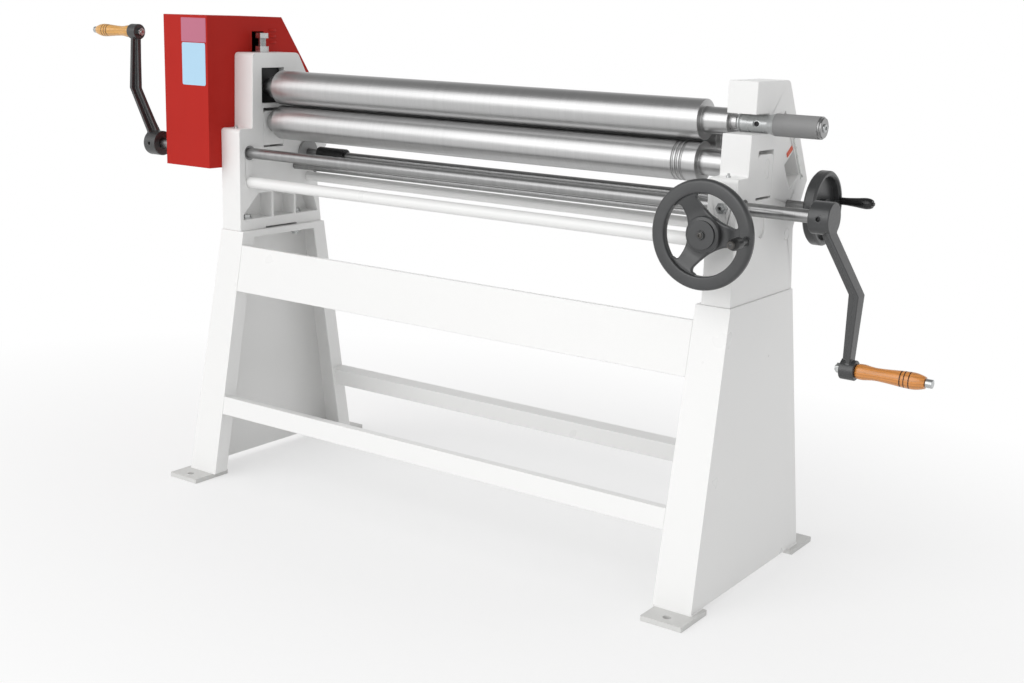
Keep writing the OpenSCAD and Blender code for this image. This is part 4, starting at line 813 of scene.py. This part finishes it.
class ROLLER_OT_lower_setting(bpy.types.Operator):
    """Finish the front handwheel and the shafts and screws that lift the lower roll"""

    bl_idname = "roller.lower_setting"
    bl_label = "Lower roll setting"

    PAINT = (
        ("handwheel_cap", "iron", "turned_edge"),
        ("handwheel_shaft left_setting_shaft", "shaft_y", "fine_edge"),
        ("setting_cross_shaft", "shaft_x", "fine_edge"),
        ("left_jack_screw right_jack_screw", "shaft_z", "fine_edge"),
    )
    ADD = (
        ("front_wheel_casting", "iron", "front_wheel", "dark_iron", "front_handwheel"),
        ("front_knob_grip", "plastic", "front_knob", "black_plastic", "front_knob"),
        ("front_knob_shank", "iron", "front_knob", "dark_iron"),
        ("handwheel_centre_screw", "gear", "front_wheel", "zinc"),
        ("front_knob_bolt", "gear", "front_wheel", "zinc"),
    )
    # The wheel and its knob, in millimetres; rim corners are (outward, forward, radius, first angle)
    WHEEL_R, RIM_W, RIM_HALF = 115, 29, 10
    RIM_CORNERS = ((1, -1, 8, 270), (1, 1, 8, 0), (-1, 1, 4, 90), (-1, -1, 4, 180))
    WEB_T, WEB_BACK, WEB_DISH, WEB_EDGE, WEB_COLUMNS = 11, 3, 12, 2.2, 14
    HUB_R, HUB_BACK, HUB_FRONT, HUB_EDGE, BORE_R = 38, 28, 3, 1.5, 9.05
    OPENING_IN, OPENING_CURVE, OPENING_END = 40, 120, 10
    KNOB_R, KNOB_START, KNOB_BORE = 103, 14, 4.6
    KNOB = ((29.8, 11.8), (32, 12.8), (38, 13), (46, 13), (53, 12.7), (57, 11.6), (60, 10.2), (62, 8.6))
    PIN_R, PIN_L, PIN_EDGE, SEAT_R, SEAT_L, COLLAR_R = 4.5, 82, 0.8, 8, 13, 10
    SPOKES, SPOKE_HALF = (0, 120, 240), 60
    RIM_STEPS, HUB_STEPS, PIN_STEPS, KNOB_STEPS = 120, 72, 40, 28

    def execute(self, context):
        return dress(self, context)

    def opening_edge(self):
        """Upper half of an opening's edge, from its middle next to the hub and on into the rim."""
        outer = self.WHEEL_R - self.RIM_W
        far = self.OPENING_IN + self.OPENING_CURVE
        reach, curve = outer - self.OPENING_END, self.OPENING_CURVE - self.OPENING_END
        x = (far ** 2 + reach ** 2 - curve ** 2) / (2 * far)
        y = math.sqrt(reach ** 2 - x ** 2)
        out_at, in_at = math.atan2(y, x), math.atan2(y, x - far)
        line = [(far + self.OPENING_CURVE * math.cos(a), self.OPENING_CURVE * math.sin(a))
                for a in (math.pi + (in_at - math.pi) * i / 14 for i in range(14))]
        line += [(x + self.OPENING_END * math.cos(a), y + self.OPENING_END * math.sin(a))
                 for a in (in_at + (out_at - in_at) * i / 12 for i in range(13))]
        into_rim = outer + self.RIM_W / 2
        line.append((into_rim * math.cos(out_at), into_rim * math.sin(out_at)))
        return line

    def spoke(self, build, place, angle):
        """Web between two openings, dished back towards the hub."""
        columns = self.WEB_COLUMNS
        rows = []
        for x, y in self.opening_edge():
            right = Matrix.Rotation(math.radians(angle - self.SPOKE_HALF), 2) @ Vector((x, y))
            left = Matrix.Rotation(math.radians(angle + self.SPOKE_HALF), 2) @ Vector((x, -y))
            inset = self.WEB_EDGE / (left - right).length
            shares = [0] + [inset + (1 - 2 * inset) * i / columns for i in range(columns + 1)] + [1]
            front, back = [], []
            for share in shares:
                spot = right.lerp(left, share)
                fall = min(1, max(0, (self.WHEEL_R - self.RIM_W - spot.length) / self.HUB_R))
                level = -self.WEB_BACK - self.WEB_DISH * fall * fall * (3 - 2 * fall)
                half = self.WEB_T / 2 - (self.WEB_EDGE if share in (0, 1) else 0)
                for side, height in ((front, level + half), (back, level - half)):
                    side.append(build.verts.new(place @ (Vector((spot.x, spot.y, height)) * MM)))
            rows.append(front + back[::-1])
        skin(build, rows)

    def front_wheel_casting(self, build):
        axis = spot_on("handwheel_shaft")
        origin = Vector((axis.x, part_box("front_handwheel")[1].y - self.HUB_BACK * MM, axis.z))
        place = Matrix(((1, 0, 0, origin.x), (0, 0, -1, origin.y), (0, 1, 0, origin.z), (0, 0, 0, 1)))
        rim = []
        for out, ahead, corner, start in self.RIM_CORNERS:
            edge = self.WHEEL_R if out > 0 else self.WHEEL_R - self.RIM_W
            for i in range(7):
                a = math.radians(start + 15 * i)
                rim.append((edge - out * corner + corner * math.cos(a),
                            ahead * (self.RIM_HALF - corner) + corner * math.sin(a)))
        turned(build, rim, origin, AHEAD, self.RIM_STEPS)
        for angle in self.SPOKES:
            self.spoke(build, place, angle)
        hub, edge, back, front = self.HUB_R, self.HUB_EDGE, -self.HUB_BACK, self.HUB_FRONT
        turned(build, [(self.BORE_R, back), (hub - edge, back), (hub, back + edge), (hub, front - edge),
                       (hub - edge, front), (self.BORE_R, front)], origin, AHEAD, self.HUB_STEPS)
        pin, tip, seat, end = self.PIN_R, self.PIN_L, self.SEAT_R, self.PIN_EDGE
        turned(build, [(0, 0), (self.COLLAR_R, 0), (self.COLLAR_R, 9.5), (seat, 11.5), (seat, self.SEAT_L),
                       (pin, self.SEAT_L), (pin, tip - end), (pin - end, tip), (0, tip)],
               place @ Vector((self.KNOB_R * MM, 0, 0)), AHEAD, self.PIN_STEPS)

    def front_knob_bolt(self, build):
        tip = spot_on("front_knob", y=1) + AHEAD * ((self.PIN_L - self.KNOB_START) * MM)
        turned(build, [(0, -5), (8.2, -5), (8.2, -1.2), (7.2, 0.2), (3.4, 0.2), (3, -2.4), (0, -2.4)], tip, AHEAD)

    def front_knob_shank(self, build):
        bore = self.KNOB_BORE
        turned(build, [(bore, 0), (7, 0), (7.5, 0.6), (7.5, 11), (8, 14), (10.4, 24), (11.6, 29), (11, 29.6),
                       (bore, 29.6)], spot_on("front_knob", y=1), AHEAD)

    def front_knob_grip(self, build):
        bored(build, self.KNOB, self.KNOB_STEPS, self.KNOB_BORE, spot_on("front_knob", y=1), AHEAD)

    def handwheel_centre_screw(self, build):
        turned(build, [(0, -1), (6, -1), (6, 1.2), (5, 2), (2.8, 2), (2.2, 0.4), (0, 0.4)],
               spot_on("handwheel_cap", y=-1), AHEAD)


class ROLLER_OT_rear_setting(bpy.types.Operator):
    """Finish the side handwheel and the shaft, coupling and nuts that lift the rear roll"""

    bl_idname = "roller.rear_setting"
    bl_label = "Rear roll setting"

    PAINT = (
        ("side_handwheel", "iron", "dish_edge"),
        ("rear_setting_shaft", "shaft_x", "fine_edge"),
        ("shaft_coupling", "black_iron", "turned_edge"),
        ("left_lift_nut right_lift_nut", "bronze", "fine_edge"),
    )
    ADD = (("side_wheel_handle", "plastic", "side_handle", "black_plastic", "side_handle"),)
    HANDLE = ((0, 7.6), (2, 8.2), (12, 8.4), (24, 9.2), (38, 10.4), (50, 11.8), (59, 12.4), (66, 11.8), (71, 10.4),
              (74, 8.8))
    HANDLE_BORE, HANDLE_STEPS = 4.1, 40

    def execute(self, context):
        return dress(self, context)

    def side_wheel_handle(self, build):
        bored(build, self.HANDLE, self.HANDLE_STEPS, self.HANDLE_BORE, spot_on("side_handle", x=-1), ALONG)


class ROLLER_OT_stage(bpy.types.Operator):
    """Lay the floor, light it softly and place the camera"""

    bl_idname = "roller.stage"
    bl_label = "Stage"

    LENS_AT = (2014.2 * MM, -2769.7 * MM, 1252.1 * MM)
    YAW, PITCH, ROLL = math.radians(34.6895), math.radians(13.2368), math.radians(1.8060)
    PICTURE_WIDTH, FOCAL_PIXELS, SENSOR, CLIP_END = 1024, 1387.04, 36, 200
    FLOOR_REACH, FLOOR_Z, FLOOR_SHAPE = 40, -0.3 * MM, (0.7, 1, 0)
    WALL_TOP, CEILING_FROM = 0.2, 0.75
    LAMP_AT, LAMP_SIDE = (0, 0, 3), Vector((-0.28, -0.85, 0.45))
    WHITE = (1, 1, 1, 1)

    def execute(self, context):
        scene = context.scene
        scene.view_settings.view_transform = "Standard"
        self.camera(scene)
        self.floor(scene)
        self.lights(scene)
        self.world(scene)
        return {"FINISHED"}

    def camera(self, scene):
        lens = bpy.data.cameras.new("camera")
        lens.sensor_fit = "HORIZONTAL"
        lens.sensor_width = self.SENSOR
        lens.lens = self.FOCAL_PIXELS / self.PICTURE_WIDTH * self.SENSOR
        lens.clip_end = self.CLIP_END
        forward = Vector((-math.sin(self.YAW) * math.cos(self.PITCH), math.cos(self.YAW) * math.cos(self.PITCH),
                          -math.sin(self.PITCH)))
        right = forward.cross(UP).normalized()
        up = right.cross(forward)
        across = math.cos(self.ROLL) * right + math.sin(self.ROLL) * up
        upright = math.cos(self.ROLL) * up - math.sin(self.ROLL) * right
        turn = Matrix((across, upright, -forward)).transposed().to_4x4()
        camera = bpy.data.objects.new("camera", lens)
        camera.matrix_world = Matrix.Translation(self.LENS_AT) @ turn
        scene.collection.objects.link(camera)
        scene.camera = camera

    def seen(self, tree):
        """One where the lens, a reflection or glass looks straight at a surface."""
        path = add(tree, "ShaderNodeLightPath").outputs
        shown = math_node(tree, "MAXIMUM", path["Is Camera Ray"], path["Is Glossy Ray"])
        return math_node(tree, "MAXIMUM", shown, path["Is Transmission Ray"])

    def floor(self, scene):
        stage = scene.roller_stage
        mesh = bpy.data.meshes.new("floor")
        build = bmesh.new()
        corners = [(-1, -1), (1, -1), (1, 1), (-1, 1)]
        reach = self.FLOOR_REACH
        build.faces.new([build.verts.new((x * reach, y * reach, self.FLOOR_Z)) for x, y in corners])
        build.to_mesh(mesh)
        build.free()
        floor = bpy.data.objects.new("floor", mesh)
        scene.collection.objects.link(floor)
        material = bpy.data.materials.new("pale floor")
        material.use_nodes = True
        tree = material.node_tree
        tree.nodes.remove(tree.nodes["Principled BSDF"])
        place = add(tree, "ShaderNodeTexCoord").outputs["Object"]
        oval = stretched(tree, place, self.FLOOR_SHAPE)
        away = add(tree, "ShaderNodeVectorMath", {0: oval}, operation="LENGTH").outputs["Value"]
        white = remap(tree, away, stage.floor_near, stage.floor_far, stage.floor_glow, 1)
        mix = add(tree, "ShaderNodeMixShader", {
            "Fac": math_node(tree, "MULTIPLY", self.seen(tree), white),
            1: add(tree, "ShaderNodeBsdfDiffuse", {"Color": stage.floor}).outputs[0],
            2: add(tree, "ShaderNodeEmission", {"Strength": 1}).outputs[0],
        })
        feed(tree, tree.nodes["Material Output"], {"Surface": mix.outputs[0]})
        mesh.materials.append(material)

    def lights(self, scene):
        key = bpy.data.lights.new("key light", "SUN")
        key.energy = scene.roller_stage.sun
        key.angle = scene.roller_stage.sun_width
        lamp = bpy.data.objects.new("key light", key)
        lamp.matrix_world = axis_frame(self.LAMP_AT, self.LAMP_SIDE)
        scene.collection.objects.link(lamp)

    def world(self, scene):
        stage = scene.roller_stage
        scene.world = bpy.data.worlds.new("studio")
        scene.world.use_nodes = True
        tree = scene.world.node_tree
        fill = tree.nodes["Background"]
        feed(tree, fill, {"Color": self.WHITE, "Strength": stage.fill})
        place = add(tree, "ShaderNodeTexCoord").outputs["Generated"]
        height = add(tree, "ShaderNodeSeparateXYZ", {0: place}).outputs["Z"]
        wall = remap(tree, height, self.WALL_TOP, self.CEILING_FROM, 1, stage.ceiling)
        lens = add(tree, "ShaderNodeLightPath").outputs["Is Camera Ray"]
        backdrop = add(tree, "ShaderNodeBackground", {
            "Color": self.WHITE, "Strength": math_node(tree, "MAXIMUM", wall, lens)})
        mix = add(tree, "ShaderNodeMixShader", {"Fac": self.seen(tree), 1: fill.outputs[0], 2: backdrop.outputs[0]})
        feed(tree, tree.nodes["World Output"], {"Surface": mix.outputs[0]})


PIECE_OPERATORS = (ROLLER_OT_stand, ROLLER_OT_housings, ROLLER_OT_rolls, ROLLER_OT_drive, ROLLER_OT_lower_setting,
                   ROLLER_OT_rear_setting, ROLLER_OT_stage)


class ROLLER_PT_panel(bpy.types.Panel):
    """Lists the machine's groups of pieces and their settings"""

    bl_idname = "ROLLER_PT_panel"
    bl_label = "Plate Roller"
    bl_space_type = "VIEW_3D"
    bl_region_type = "UI"
    bl_category = "Plate Roller"

    def draw(self, context):
        for operator in PIECE_OPERATORS:
            self.layout.operator(operator.bl_idname)
        for title in SETTINGS:
            settings = getattr(context.scene, title)
            box = self.layout.box()
            for key in settings.__annotations__:
                box.prop(settings, key)


SETTINGS = {"roller_colours": RollerColours, "roller_sizes": RollerSizes, "roller_stage": RollerStage}
CLASSES = (*SETTINGS.values(), *PIECE_OPERATORS, ROLLER_PT_panel)


def register():
    for entry in CLASSES:
        bpy.utils.register_class(entry)
    for title, group in SETTINGS.items():
        setattr(bpy.types.Scene, title, PointerProperty(type=group))


def unregister():
    for title in SETTINGS:
        delattr(bpy.types.Scene, title)
    for entry in reversed(CLASSES):
        bpy.utils.unregister_class(entry)


def main():
    register()
    bpy.ops.roller.stand()
    bpy.ops.roller.housings()
    bpy.ops.roller.rolls()
    bpy.ops.roller.drive()
    bpy.ops.roller.lower_setting()
    bpy.ops.roller.rear_setting()
    bpy.ops.roller.stage()
    bpy.context.view_layer.update()


if __name__ == "__main__":
    main()
